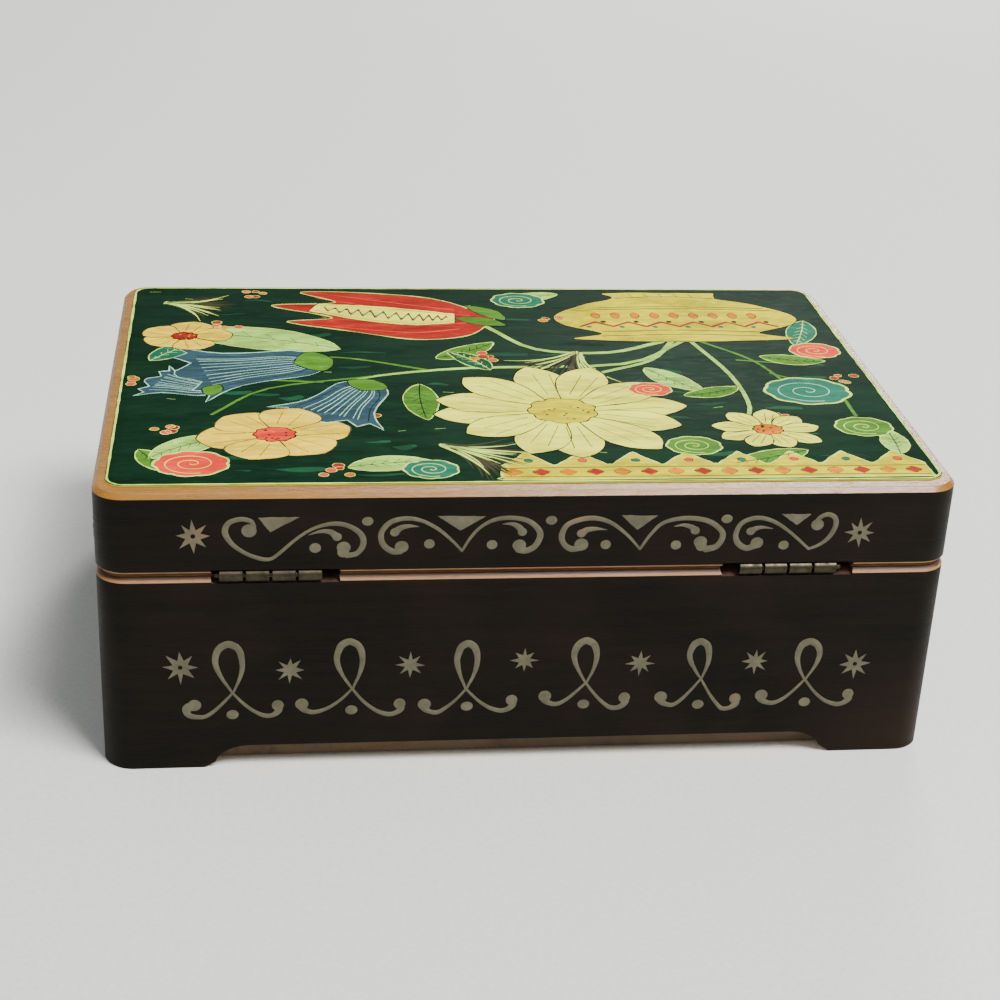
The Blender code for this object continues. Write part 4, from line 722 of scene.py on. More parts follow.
def scroll_parts(scroll, random, **how):
    """Paint of one scroll: its strokes, its dabs, each a little higher than the last, and its wedge."""
    strokes, dabs, wedge = scroll
    made = []
    for points in strokes:
        points = moved(points, **how)
        points[:, 2] *= random.uniform(0.93, 1.07, len(points))
        made.append(stroke(points[:, :2], points[:, 2]))
    for k, dab in enumerate(moved(dabs, **how)):
        made.append(patch(disc(*dab, 0.95), DAB_LIFT + NEXT_LIFT * k))
    wedge = moved(wedge, **how)
    next_tips = np.roll(wedge, -1, 0)
    sides = np.concatenate([np.linspace(a, b, 8, endpoint=False) for a, b in zip(wedge, next_tips)])
    return made + [patch(sides + random.uniform(-0.05, 0.05, sides.shape))]


def silver_paint():
    """Silvery grey-green paint, patchy where it is thin, with a few warmer spots."""
    made, tree, surface = finish("silver_paint", 0.5, 0.25, Specular_IOR_Level=0.4)
    spots = places(tree, (1000, 1000, 1000))
    cloud = spread(tree, speckle(tree, spots, 0.35, 5.0, 0.6), 0.3, 0.7)
    thin = spread(tree, speckle(tree, spots, 1.8, 4.0, 0.7), 0.35, 0.75)
    base = mixed(tree, cloud, (0.072, 0.066, 0.037), (0.132, 0.120, 0.072))
    worn = mixed(tree, worked_out(tree, "MULTIPLY", thin, 0.35), base, (0.052, 0.046, 0.027))
    warm = spread(tree, speckle(tree, spots, 0.085, 2.0), 0.62, 0.72, 0, 0.6)
    tree.links.new(mixed(tree, warm, worn, (0.20, 0.12, 0.07)), surface.inputs["Base Color"])
    tree.links.new(spread(tree, thin, 0, 1, 0.42, 0.62), surface.inputs["Roughness"])
    bumped(tree, surface, thin, 0.02)
    return made


silver = silver_paint()
random = np.random.default_rng(23)
case_parts, lid_parts, case_holes, lid_holes = [], [], [], []


def add_star(parts, holes, side, x, y, reach, pierced):
    """Adds a star to the parts, and where it is pierced a dot of bare stain in its middle to the holes."""
    parts.append(onto(side, patch(star(x, y, reach, random))))
    if pierced:
        holes.append(onto(side, patch(disc(x, y, 0.4, steps=12), PAINT_DEPTH - 0.01, 0.02), PIERCED))


for side, way in (("back", 1), ("front", -1)):
    for *spots, half_width in LOOPS:
        top, crossing, left, right, dot = ((way * x, z) for x, z in spots)
        left, right = (left, right) if way == 1 else (right, left)
        shapes = loop_parts(top, crossing, left, right, dot, half_width, random, way * spots[0][0] < -50)
        case_parts += [onto(side, shape) for shape in shapes]
    for x, z, reach in LOOP_STARS:
        add_star(case_parts, case_holes, side, way * x, z, reach, reach > 2.9)
    for scroll in (END_SCROLL, MIDDLE_SCROLL, FAR_MIDDLE_SCROLL, FAR_END_SCROLL):
        lid_parts += [onto(side, shape) for shape in scroll_parts(scroll, random, way=way)]
    for x, z in ((-28.1, 47.2), (2.5, 47.0), (32.4, 46.9)):
        lid_parts.append(onto(side, patch(disc(way * x, z, 0.95, 0.85))))
    for x, z, reach in ((-56.6, 44.8, 3.1), (55.8, 44.0, 2.8)):
        add_star(lid_parts, lid_holes, side, way * x, z, reach, True)

for side in ("right", "left"):
    for x in (-30.0, -10.0, 10.0, 30.0):
        spots = ((x - 0.1, 24.6), (x, 15.1), (x - 7.3, 12.0), (x + 7.6, 11.9), (x + 0.1, 11.0))
        case_parts += [onto(side, shape) for shape in loop_parts(*spots, 2.05, random)]
    for x in (-40.5, -20.0, 0.0, 20.0, 40.5):
        add_star(case_parts, case_holes, side, x, 19.4, 3.0 if abs(x) > 30 else 2.4, abs(x) > 30)
    for scroll, shift, way in ((END_SCROLL, 12.2, 1), (END_SCROLL, -12.2, -1),
                               (MIDDLE_SCROLL, -MIDDLE_AT, 1)):
        lid_parts += [onto(side, shape) for shape in scroll_parts(scroll, random, shift=shift, way=way)]
    for x in (-44.2, 44.2):
        add_star(lid_parts, lid_holes, side, x, 44.6, 2.8, True)
    for x in (-15.0, 15.0):
        lid_parts.append(onto(side, patch(disc(x, 47.1, 0.9, 0.85))))

make_piece("case_bands", case_parts + case_holes, [silver, stain], "case", 50.0)
make_piece("lid_bands", lid_parts + lid_holes, [silver, stain], "lid", 50.0)


# Hinges
# Two brass butt hinges, dark with age, let into the back and nailed down. Each leaf is sheet metal rolled
# into two knuckles, and a pin with rounded ends runs through all four.
PIN_Y = 50.2
HINGE_LENGTH = 17.0
KNUCKLE = 3.95
KNUCKLE_PITCH = 4.35
ROLL_RADIUS = 0.875
ROLL_DROP = 31.0
SHEET = 0.55
SHEET_SOFT = 0.1
LEAF_THICK = 0.6
LEAF_EDGE, LEAF_END = 46.0, 48.6
PIN_RADIUS = 0.5
PIN_OUT = 1.0
NAIL_Y, NAIL_SPACING = 47.3, 5.5
# A nail: its radius at heights from the leaf's face
NAIL_ROWS = ((0.3, -4.4), (0.35, -1.0), (0.8, -0.2), (0.82, 0.02), (0.7, 0.08), (0.4, 0.12), (0.06, 0.13))


def rolled(path, thick, start, end):
    """Sheet metal run along X, whose section follows a path of y and z, with its ends softened."""
    path = np.asarray(path, float)
    slope = np.gradient(path, axis=0)
    slope /= np.linalg.norm(slope, axis=1)[:, None]
    across = np.column_stack([-slope[:, 1], slope[:, 0]])
    rows = []
    for x, less in ((start, SHEET_SOFT), (start + SHEET_SOFT, 0.0),
                    (end - SHEET_SOFT, 0.0), (end, SHEET_SOFT)):
        half = across * (thick / 2 - less)
        ring = np.concatenate([path + half, (path - half)[::-1]])
        rows.append(np.column_stack([np.full(len(ring), x), ring]))
    count, ring = len(path), 2 * len(path)
    i = np.arange(count - 1)
    cap = np.stack([i, i + 1, ring - 2 - i, ring - 1 - i], 1)
    faces = np.concatenate([grid_faces(4, ring), cap[:, ::-1], cap + 3 * ring])
    return np.concatenate(rows), faces.tolist()


AXES = {"x": (1, 2, 0), "y": (0, 2, 1), "z": (0, 1, 2)}


def turned(rows, place=(0, 0, 0), axis="z", steps=24):
    """A turned shape: each row is a radius and a distance along the axis, and flat faces close its ends."""
    rows = np.asarray(rows, float)
    angles = np.linspace(0, 2 * math.pi, steps, endpoint=False)
    points = np.zeros((len(rows), steps, 3))
    first, second, along = AXES[axis]
    points[..., first] = rows[:, :1] * np.cos(angles)
    points[..., second] = rows[:, :1] * np.sin(angles)
    points[..., along] = rows[:, 1:]
    return points.reshape(-1, 3) + place, closed_faces(len(rows), steps)


def aged_metal(name, light, dark, roughness, scale, wear):
    """Metal that has darkened unevenly: clouds of tarnish, and fine scratches that catch the light."""
    made, tree, surface = finish(name, roughness, 1.0)
    spots = places(tree, (scale, scale, scale))
    cloud = spread(tree, speckle(tree, spots, 1.0, 5.0, 0.6), 0.35, 0.65)
    scratches = places(tree, (scale * 0.5, scale * 4, scale * 4))
    fine = spread(tree, speckle(tree, scratches, 2.0, 3.0), 0.4, 0.7)
    base = mixed(tree, cloud, dark, light)
    bright = tuple(min(c * 1.5, 1.0) for c in light)
    colour = mixed(tree, spread(tree, fine, 0.5, 1.0, 0, wear), base, bright)
    tree.links.new(colour, surface.inputs["Base Color"])
    rubbed = spread(tree, cloud, 0, 1, roughness + 0.12, roughness - 0.06)
    tree.links.new(rubbed, surface.inputs["Roughness"])
    bumped(tree, surface, fine, 0.01)
    return made


hinge_metal = aged_metal("hinge_brass", (0.064, 0.055, 0.035), (0.030, 0.026, 0.017), 0.42, 700.0, 0.2)


def half_hinge(centre, lid):
    """One leaf with its two knuckles and nail heads. The lid's is the case's turned over about the pin."""
    roll = np.radians(np.linspace(180 + ROLL_DROP, 505 + ROLL_DROP, 24))
    leaf_z = SEAM_MIDDLE - ROLL_RADIUS * math.sin(math.radians(ROLL_DROP))
    path = [(LEAF_END - 0.4, leaf_z), (LEAF_END + 0.1, leaf_z)]
    path += zip(PIN_Y + ROLL_RADIUS * np.cos(roll), SEAM_MIDDLE + ROLL_RADIUS * np.sin(roll))
    plate = [(y, leaf_z) for y in (LEAF_EDGE, LEAF_EDGE + 0.8, LEAF_END - 0.8, LEAF_END)]
    parts = [rolled(plate, LEAF_THICK - 0.02, centre - HINGE_LENGTH / 2, centre + HINGE_LENGTH / 2)]
    for k in ((1, 3) if lid else (0, 2)):
        end = centre + HINGE_LENGTH / 2 - k * KNUCKLE_PITCH
        parts.append(rolled(path, SHEET, end - KNUCKLE, end))
    top = leaf_z + LEAF_THICK / 2
    for x in (-NAIL_SPACING, 0.0, NAIL_SPACING):
        parts.append(turned(NAIL_ROWS, (centre + x, NAIL_Y, top), steps=16))
    if lid:
        parts = [(points * (1, 1, -1) + (0, 0, 2 * SEAM_MIDDLE), faces) for points, faces in parts]
    return [(*part, 0) for part in parts]


for side, centre in (("left", 44.0), ("right", -44.0)):
    make_piece(side + "_case_leaf", half_hinge(centre, False), [hinge_metal], "case", 40.0,
               (side + "_hinge_case_leaf",))
    make_piece(side + "_lid_leaf", half_hinge(centre, True), [hinge_metal], "lid", 40.0,
               (side + "_hinge_lid_leaf",))
    way = 1 if centre > 0 else -1
    ends = [(0.1, 0.0), (0.3, 0.05), (0.44, 0.18), (PIN_RADIUS, 0.4)]
    inner, outer = centre - way * HINGE_LENGTH / 2, centre + way * (HINGE_LENGTH / 2 + PIN_OUT)
    rows = [(r, inner + way * a) for r, a in ends] + [(r, outer - way * a) for r, a in ends[::-1]]
    make_piece(side + "_pin", [(*turned(rows, (0, PIN_Y, SEAM_MIDDLE), "x"), 0)], [hinge_metal], "case",
               50.0, (side + "_hinge_pin",))


# Picture
# A paper sheet glued to the lid, painted with folk flowers in a pot, upright when seen from the front.
# The paints lie in thin layers, each with its brush marks, and are drawn round in dark and pale lines.
SHEET_X, SHEET_Y = (-71.1, 70.9), (-49.3, 47.6)
SHEET_CORNER = 3.0
SHEET_LOW, SHEET_HIGH = 52.26, 52.40
LAYER = 0.006
PAINT_THICK = 0.8 * LAYER


def brush_group():
    """Brush marks along the first axis of the coordinates: drag, wash and grain, each from 0 to 1."""
    tree = bpy.data.node_groups.new("brush_marks", "ShaderNodeTree")
    tree.interface.new_socket("Vector", in_out="INPUT", socket_type="NodeSocketVector")
    for name in ("Drag", "Wash", "Grain"):
        tree.interface.new_socket(name, in_out="OUTPUT", socket_type="NodeSocketFloat")
    source = tree.nodes.new("NodeGroupInput").outputs[0]
    out = tree.nodes.new("NodeGroupOutput")
    drift = node(tree, "TexNoise", {"Vector": source, "Scale": 0.5, "Detail": 1.0}).outputs[1]
    bent = node(tree, "VectorMath", {0: drift, 1: (2.2, 2.2, 2.2)}, operation="MULTIPLY").outputs[0]
    path = node(tree, "VectorMath", {0: source, 1: bent}, operation="ADD").outputs[0]
    fields = ((1.3, 3.0, 0.35, 0.68), (0.32, 3.0, 0.35, 0.65), (4.0, 4.0, 0.3, 0.7))
    for k, (scale, detail, low, high) in enumerate(fields):
        tree.links.new(spread(tree, speckle(tree, path, scale, detail, 0.6), low, high), out.inputs[k])
    return tree


brush_marks = brush_group()
THIN_PAINT, DRY_STREAK, PALEST = 0.6, 1.6, 0.9


def gouache(name, colour, share=0.55, turn=0.0):
    """Opaque matt paint: a wash between its colour and that colour thinned, with paler streaks over it.

    Thinned paint is THIN_PAINT times its colour. A streak, left where the brush ran dry, is DRY_STREAK
    times it, and at most PALEST.
    """
    thin = tuple(THIN_PAINT * c for c in colour)
    streak = tuple(min(DRY_STREAK * c, PALEST) for c in colour)
    made, tree, surface = finish(name, 0.6, Specular_IOR_Level=0.01)
    marks = node(tree, "Group", {}, node_tree=brush_marks)
    tree.links.new(places(tree, (230, 850, 300), (0, 0, turn)), marks.inputs[0])
    wash = mixed(tree, marks.outputs[1], thin, colour)
    colour = mixed(tree, spread(tree, marks.outputs[0], 0.55, 0.95, 0, share), wash, streak)
    worn = mixed(tree, spread(tree, marks.outputs[2], 0.0, 0.35, 0.25, 0), colour, thin)
    tree.links.new(worn, surface.inputs["Base Color"])
    tree.links.new(spread(tree, marks.outputs[0], 0, 1, 0.52, 0.68), surface.inputs["Roughness"])
    bumped(tree, surface, marks.outputs[2], 0.015)
    return made


# Each paint: its name, colour, and where it isn't the usual, how much it streaks and which way it was brushed
PAINTS = {name: gouache("paint_" + name, *paint) for name, *paint in (
    ("ground", (0.006, 0.025, 0.012), 0.35),
    ("moss", (0.01, 0.07, 0.03), 0.5),
    ("deep", (0.004, 0.02, 0.01), 0.5),
    ("yellow", (0.65, 0.55, 0.002), 0.5),
    ("orange", (0.7, 0.18, 0.002)),
    ("red", (0.35, 0.02, 0.012), 0.5, 0.6),
    ("cream", (0.9, 0.9, 0.08), 0.5, 0.8),
    ("blue", (0.03, 0.07, 0.09), 0.6, 0.5),
    ("sky", (0.4, 0.7, 0.5)),
    ("pink", (0.8, 0.05, 0.03)),
    ("teal", (0.015, 0.15, 0.09)),
    ("leaf", (0.08, 0.22, 0.02)),
    ("sage", (0.35, 0.6, 0.1), 0.6, 0.3),
    ("peach", (0.9, 0.6, 0.03), 0.5, 0.7),
    ("brown", (0.05, 0.045, 0.02), 0.6),
    ("ink", (0.008, 0.012, 0.01)),
    ("chalk", (0.6, 0.85, 0.15)))}
paint_numbers = {name: k for k, name in enumerate(PAINTS)}
sheet_parts = []
random = np.random.default_rng(5)


def on_sheet(shape, paint):
    """Puts a flat shape on the sheet: its third number stands up from the sheet's face."""
    points, faces = shape
    sheet_parts.append((points + (0, 0, SHEET_HIGH), faces, paint_numbers[paint]))


def lay(outline, level, paint, edge=None, edge_width=0.26, wobble=0.06):
    """Lays a patch of paint at a level, and draws round it with a line that swells and thins."""
    outline = outline + random.uniform(-wobble, wobble, outline.shape)
    on_sheet(patch(outline, level * LAYER, PAINT_THICK), paint)
    if edge:
        closed = np.concatenate([outline, outline[:1]])
        widths = edge_width * random.uniform(0.45, 1.35, len(closed))
        on_sheet(stroke(closed, widths, (level + 0.3) * LAYER, 2, PAINT_THICK, False), edge)


def draw(points, width, level, paint, per_span=4):
    """Draws a line of paint through the points; its width is one number or one for each point."""
    points = np.asarray(points, float)
    widths = np.broadcast_to(width, len(points)) * random.uniform(0.8, 1.2, len(points))
    on_sheet(stroke(points, widths, level * LAYER, per_span, PAINT_THICK, end_rows=3), paint)


def blade(x, y, angle, length, width, bend=0.0, blunt=1.0, steps=13):
    """The outline of a petal or leaf that starts at a place and runs on at an angle, turning by its bend.

    Its half width follows a sine along its length, and a bluntness over 1 moves the widest part to the tip.
    """
    t = np.linspace(0, 1, steps)
    way = math.radians(angle) + bend * t
    step = length / (steps - 1)
    run = np.column_stack([np.cos(way[:-1]), np.sin(way[:-1])]) * step
    middle = np.concatenate([[(x, y)], (x, y) + np.cumsum(run, 0)])
    half = (width / 2 * np.sin(math.pi * t ** blunt) ** 0.75)[:, None]
    across = np.column_stack([-np.sin(way), np.cos(way)])
    return np.concatenate([middle + across * half, (middle - across * half)[::-1][1:-1]])


def lobes(x, y, radius, count, depth, squash):
    """The outline of a dab with scalloped edges."""
    t = np.linspace(0, 2 * math.pi, 48, endpoint=False)
    r = radius * (1 - depth + depth * np.abs(np.cos(count * t / 2)))
    return np.column_stack([x + r * np.cos(t), y + squash * r * np.sin(t)])


def daisy(x, y, reach, count, width, paint, edge, middle, level, turn, squash):
    """A flower of petals round a middle, each petal lined down its length."""
    for k in range(count):
        angle = turn + 360 * k / count + random.uniform(-5, 5)
        long = reach * random.uniform(0.9, 1.04)
        petal = blade(0, 0, angle, long, width, random.uniform(-0.2, 0.2), 1.7)
        lay(petal * (1, squash) + (x, y), level + (0.0, 0.7, 0.35)[k % 3], paint, edge)
        way = np.array([math.cos(math.radians(angle)), squash * math.sin(math.radians(angle))])
        for share in (-0.12, 0.1):
            side = np.array([-way[1], way[0]]) * share * width
            line = [(x, y) + way * 0.35 * long + side, (x, y) + way * 0.8 * long + side * 1.6]
            draw(line, 0.14, level + 1.4, edge)
    lay(lobes(x, y, reach * 0.27, 9, 0.12, squash), level + 1.8, middle, "ink", 0.3)
    for k in range(14):
        angle, far = random.uniform(0, 6.3), reach * 0.2 * random.uniform(0.1, 1) ** 0.5
        spot = disc(x + far * math.cos(angle), y + squash * far * math.sin(angle), 0.28, steps=8)
        lay(spot, level + 2.6, "brown" if k % 3 else "orange", wobble=0.02)


def rosette(x, y, radius, paint, line, level):
    """A flower head, wider than high, with a pale rim and a spiral drawn in it."""
    squash = 0.8
    lay(lobes(x, y, radius * 1.07, 9, 0.06, squash), level - 0.4, "chalk")
    lay(lobes(x, y, radius, 9, 0.08, squash), level, paint)
    t = np.linspace(0.6, 4.6 * math.pi, 34)
    far = radius * 0.056 * t
    spiral = np.column_stack([x + far * np.cos(t), y + squash * far * np.sin(t)])
    draw(spiral, 0.2, level + 1, line, 3)


def bell(x, y, angle, length, width, level):
    """A drooping flower in blue: a flared cup with a toothed rim, streaked with paler lines."""
    way = math.radians(angle)
    turn = np.array([[math.cos(way), math.sin(way)], [-math.sin(way), math.cos(way)]])
    cup = [(0, 0), (0.06, 0.2), (0.2, 0.33), (0.45, 0.36), (0.7, 0.42), (0.88, 0.56), (1.02, 0.72),
           (0.94, 0.5), (1.06, 0.42), (0.96, 0.24), (1.1, 0.08)]
    half = np.array(cup) * (length, width)
    outline = np.concatenate([half, (half * (1, -1))[::-1][:-1]])
    lay(outline @ turn + (x, y), level, "blue", "sky", 0.28)
    for share in np.linspace(-0.8, 0.8, 11):
        share += random.uniform(-0.05, 0.05)
        line = np.array([(0.08, 0.12), (0.3, 0.33), (0.62, 0.4), (0.9, 0.55)]) * (length, width * share)
        draw(line @ turn + (x, y), 0.17, level + 1, "sky" if abs(share) < 0.75 else "ink")
    collar = blade(0, 0, 0, length * 0.3, width * 0.5, 0, 0.9)
    lay((collar - (length * 0.06, 0)) @ turn + (x, y), level + 1.5, "leaf", "ink")


def leaf(x, y, angle, length, width, bend, paint, line, level):
    """A leaf with a middle vein and side veins."""
    lay(blade(x, y, angle, length, width, bend, 0.9, 16), level, paint, "chalk")
    t = np.linspace(0, 0.93, 8)
    way = math.radians(angle) + bend * t
    run = np.column_stack([np.cos(way), np.sin(way)]) * length * 0.93 / 7
    middle = np.concatenate([[(x, y)], (x, y) + np.cumsum(run[:-1], 0)])
    draw(middle, 0.22, level + 1, line)
    for k in range(1, 7):
        for sign in (-1, 1):
            side = way[k] + sign * 0.75
            long = width * 0.34 * math.sin(math.pi * t[k])
            end = middle[k] + np.array([math.cos(side), math.sin(side)]) * long
            draw([middle[k], end], 0.13, level + 1, line, 3)


def feather(x, y, angle, length, width, level):
    """A loose plume of fine brush lines in brown and pale grey."""
    for k in range(64):
        share = random.uniform(-1, 1)
        way = math.radians(angle) + share * width
        long = length * random.uniform(0.65, 1.05)
        start_x, start_y = x + random.uniform(-0.6, 0.6), y + random.uniform(-0.6, 0.6)
        bend = share * 0.35 + random.uniform(-0.15, 0.15)
        line = [(start_x + d * long * math.cos(way + bend * d), start_y + d * long * math.sin(way + bend * d))
                for d in (0, 0.35, 0.7, 1.0)]
        paint = ("brown", "brown", "chalk", "brown", "ink", "brown")[k % 6]
        draw(line, (0.6, 0.55, 0.36, 0.08), level + k % 3, paint)


def rounded_corners(x_ends, y_ends, radius, steps, inset=0.0):
    """The rounded corners of a rectangle, anticlockwise from its greatest x and y, each an arc of points."""
    room = inset + radius
    left, right = x_ends[0] + room, x_ends[1] - room
    front, back = y_ends[0] + room, y_ends[1] - room
    arcs = []
    for k, centre in enumerate(((right, back), (left, back), (left, front), (right, front))):
        angles = np.radians(np.linspace(90 * k, 90 * (k + 1), steps))
        arcs.append(centre + radius * np.column_stack([np.cos(angles), np.sin(angles)]))
    return arcs


# The sheet itself, cream at its edges and below, and green on its face
sheet_ring = np.concatenate(rounded_corners(SHEET_X, SHEET_Y, SHEET_CORNER, 9))
sheet_centre = sheet_ring.mean(0)
outwards = np.sign(sheet_ring - sheet_centre)
count = len(sheet_ring)
sheet_levels = ((0.03, SHEET_LOW), (0.0, SHEET_LOW + 0.03), (0.0, SHEET_HIGH - 0.02), (0.02, SHEET_HIGH))
sheet_rows = [np.column_stack([sheet_ring - outwards * less, np.full(count, z)]) for less, z in sheet_levels]
sheet_numbers = [paint_numbers["cream"]] * (3 * count + 1) + [paint_numbers["ground"]]
sheet_parts.append((np.concatenate(sheet_rows), closed_faces(4, count), sheet_numbers))

# Loose brush marks and flecks in the ground
for k in range(170):
    x, y = random.uniform(-67, 60), random.uniform(-46, 44)
    reach, drop = random.uniform(2, 9), random.uniform(-1, 1)
    width = random.uniform(0.25, 1.6)
    line = [(x, y), (x + reach * 0.5, y + drop), (x + reach, y + drop * 0.4)]
    paint = ("moss", "deep", "ground", "moss", "deep")[k % 5]
    draw(line, (width, width * 1.3, width * 0.2), 0.1 * (k % 9), paint)
for k in range(26):
    x, y = random.uniform(-68, 66), random.uniform(-47, 45)
    draw([(x, y), (x + random.uniform(0.8, 2.2), y + random.uniform(-0.5, 0.5))], 0.12, 1, "sage", 3)

# Yellow band with teeth along the edge by the hinges
teeth = [(-69.6, 46.3)]
for k in range(8):
    left = -69.4 + k * 9.3
    teeth += [(left + 0.3, 40.6 + 0.3 * (k % 2)), (left + 4.4, 35.6), (left + 8.8, 40.5)]
teeth += [(5.1, 41.0), (5.3, 46.4)]
teeth = np.array(teeth)
teeth = np.concatenate([np.linspace(a, b, 5, endpoint=False) for a, b in zip(teeth, np.roll(teeth, -1, 0))])
lay(teeth, 2, "yellow", "chalk", 0.4, 0.12)
draw([(-69.0, 41.7), (-50, 41.9), (-25, 41.6), (4.6, 41.9)], 0.22, 3, "ink")
draw([(-69.0, 45.4), (-50, 45.2), (-25, 45.5), (4.6, 45.3)], 0.22, 3, "ink")
for k in range(16):
    x = -66.6 + k * 4.65
    diamond = np.array([(x - 1.5, 43.5), (x, 44.9), (x + 1.5, 43.5), (x, 42.2)])
    lay(diamond, 3, "orange" if k % 2 else "red", "ink", 0.14)
for k in range(8):
    lay(disc(-65.0 + k * 9.3, 38.9, 0.75, steps=12), 3, "teal" if k % 2 else "pink", "ink", 0.14)

# Pot, its foot towards the front edge
POT_X = -39.4
POT_WIDEN = 1.2
pot = through([(-49, -46.8), (-40, -47.1), (-29, -46.6), (-30, -43.6), (-24, -39.2), (-18.6, -33),
               (-19.6, -27.5), (-25, -23.2), (-24.2, -21.6), (-20.4, -19.6), (-30, -18.2), (-40, -18.0),
               (-51, -18.6), (-58, -19.8), (-54.2, -21.8), (-53, -23.4), (-59.4, -28), (-60.4, -33.4),
               (-55, -39.6), (-48.6, -43.4)], 4)
pot[:, 0] = POT_X + (pot[:, 0] - POT_X) * POT_WIDEN
lay(pot, 3, "yellow", "ink", 0.34)
for z, reach in ((-21.6, 14.0), (-24.0, 13.4), (-36.6, 17.4), (-37.8, 16.4), (-44.0, 8.6)):
    reach *= POT_WIDEN
    draw([(POT_X - reach, z + 0.5), (POT_X, z - 0.6), (POT_X + reach, z + 0.5)], 0.3, 4, "ink")
zigzag = [(POT_X + 3.4 * (k - 6), -26.6 - 2.6 * (k % 2)) for k in range(13)]
for (ax, ay), (bx, by) in zip(zigzag[:-1], zigzag[1:]):
    draw([(ax, ay), (bx, by)], 0.75, 4, "red", 3)
for k in range(12):
    spot = disc(POT_X + 3.4 * (k - 5.5), -26.4 - 2.9 * ((k + 1) % 2), 0.6, steps=10)
    lay(spot, 4, "teal" if k % 2 else "ink")
for k in range(9):
    x = POT_X + 4.1 * (k - 4)
    lay(blade(x, -34.8, 90, 3.6, 1.9), 4, "orange", "ink", 0.16)
for k in range(5):
    draw([(-45.6 + 3.2 * k, -44.6), (-45.0 + 3.2 * k, -46.2)], 0.2, 4, "ink", 3)

# Stems, leaves and plumes
for points, width in (([(-36, -18), (-30, -8), (-20, -2), (-10, 4)], 1.0),
                      ([(-34, -18), (-22, -12), (-8, -14), (0, -26)], 1.1),
                      ([(-38, -18), (-24, -6), (6, -4), (24, 0), (30, 4)], 0.9),
                      ([(14, -3), (28, -9), (38, -10)], 0.8), ([(-42, -18), (-50, -8), (-54, 4)], 0.8),
                      ([(-40, -18), (-44, 0), (-44, 16), (-40, 24)], 0.8),
                      ([(-47, -8), (-60, -6), (-63, -12)], 0.6), ([(24, 0), (44, 6), (54, 18)], 0.7),
                      ([(-52, -1), (-62, 8), (-63, 20)], 0.6), ([(34, 3), (46, 2), (54, 5)], 0.6)):
    draw(points, width * 1.5, 2, "deep")
    draw(points, width, 3, "sage" if len(points) > 3 else "leaf")
for place in ((-18, -4, 60, 17, 6.5, -0.5, "leaf", "ink", 3),
              (30, -14, -25, 34, 11.5, 0.35, "sage", "moss", 3),
              (52, 28, 25, 15, 6.5, 0.4, "sage", "moss", 3),
              (-52, -10, 155, 13, 5.0, 0.5, "leaf", "ink", 3),
              (-44, 6, 30, 12, 4.6, -0.4, "leaf", "ink", 3), (2, -3, -65, 12, 5, 0.5, "moss", "chalk", 3),
              (16, 4, 84, 17, 6.5, 0.25, "leaf", "ink", 3), (31, 41, 196, 15, 6, -0.3, "sage", "moss", 2.4),
              (-28, -4, 120, 15, 6, 0.3, "sage", "moss", 2.4),
              (-50, 35, 25, 16, 5.5, -0.2, "leaf", "ink", 1.7),
              (-66.2, 37, 262, 11, 5.0, 0.2, "sage", "moss", 1.7),
              (12, -9, 205, 15, 5.5, 0.4, "leaf", "ink", 2.4),
              (66, -8, 235, 13, 5.5, -0.3, "teal", "chalk", 2.4),
              (66, 33, 118, 12, 5, 0.3, "leaf", "ink", 2.4),
              (-66, -30, 75, 15, 6, -0.2, "teal", "chalk", 2.4),
              (-17, -46, 15, 14, 5, 0.2, "sage", "moss", 2.4)):
    leaf(*place)
feather(-16, -12, 62, 17, 0.42, 4)
feather(14, 32, 150, 16, 0.3, 4)
feather(64, -40, 165, 13, 0.3, 3)

# Tulip with an embroidered band, lying over towards the front edge
tulip = through([(0, -27), (5, -21), (15, -19.2), (27, -23.5), (40, -29), (31, -31.5), (43, -38.5),
                 (30, -40.4), (37, -46.6), (24, -46.4), (10, -43), (2, -36), (-2, -31)], 5)
lay(tulip, 6, "red", "chalk", 0.34)
for points in ([(2, -29), (14, -27), (26, -30), (34, -31)], [(3, -33), (15, -35), (27, -40), (34, -43)],
               [(6, -25), (15, -23), (26, -25), (36, -28)], [(6, -36), (16, -39.5), (28, -44), (33, -45.6)]):
    draw(points, (0.5, 0.35, 0.25, 0.1), 7, "pink")
band = np.concatenate([through([(6.4, -28.4), (15, -27.2), (25, -29.8), (35.5, -35.2)], 8),
                       through([(33.6, -39.6), (24, -38.6), (14, -36.4), (6.0, -33.8)], 8)])
lay(band, 7, "cream", "ink", 0.24)
upper = through([(7.2, -29.3), (15, -28.2), (25, -30.8), (34.2, -35.6)], 8)
lower = through([(6.8, -33.0), (14, -35.4), (24, -37.6), (33.2, -38.7)], 8)
for side in (upper, lower):
    draw(side[::4], 0.2, 8, "red")
steps = (upper * 0.78 + lower * 0.22, upper * 0.22 + lower * 0.78)
zigzag = np.array([steps[k % 2][k] for k in range(1, 24)])
for k in range(len(zigzag) - 1):
    draw(zigzag[k:k + 2], 0.34, 8, "moss" if k % 2 else "teal", 3)
for k in range(2, 23, 2):
    for spot in (steps[0][k] * 0.75 + steps[1][k] * 0.25, steps[1][k - 1] * 0.75 + steps[0][k - 1] * 0.25):
        lay(disc(*spot, 0.36, steps=8), 9, "red", wobble=0.02)
lay(blade(-4, -27, -30, 11, 4.4, 0.3), 8, "leaf", "ink")
lay(blade(-4, -30, -62, 11, 4.2, 0.5), 8, "leaf", "ink")

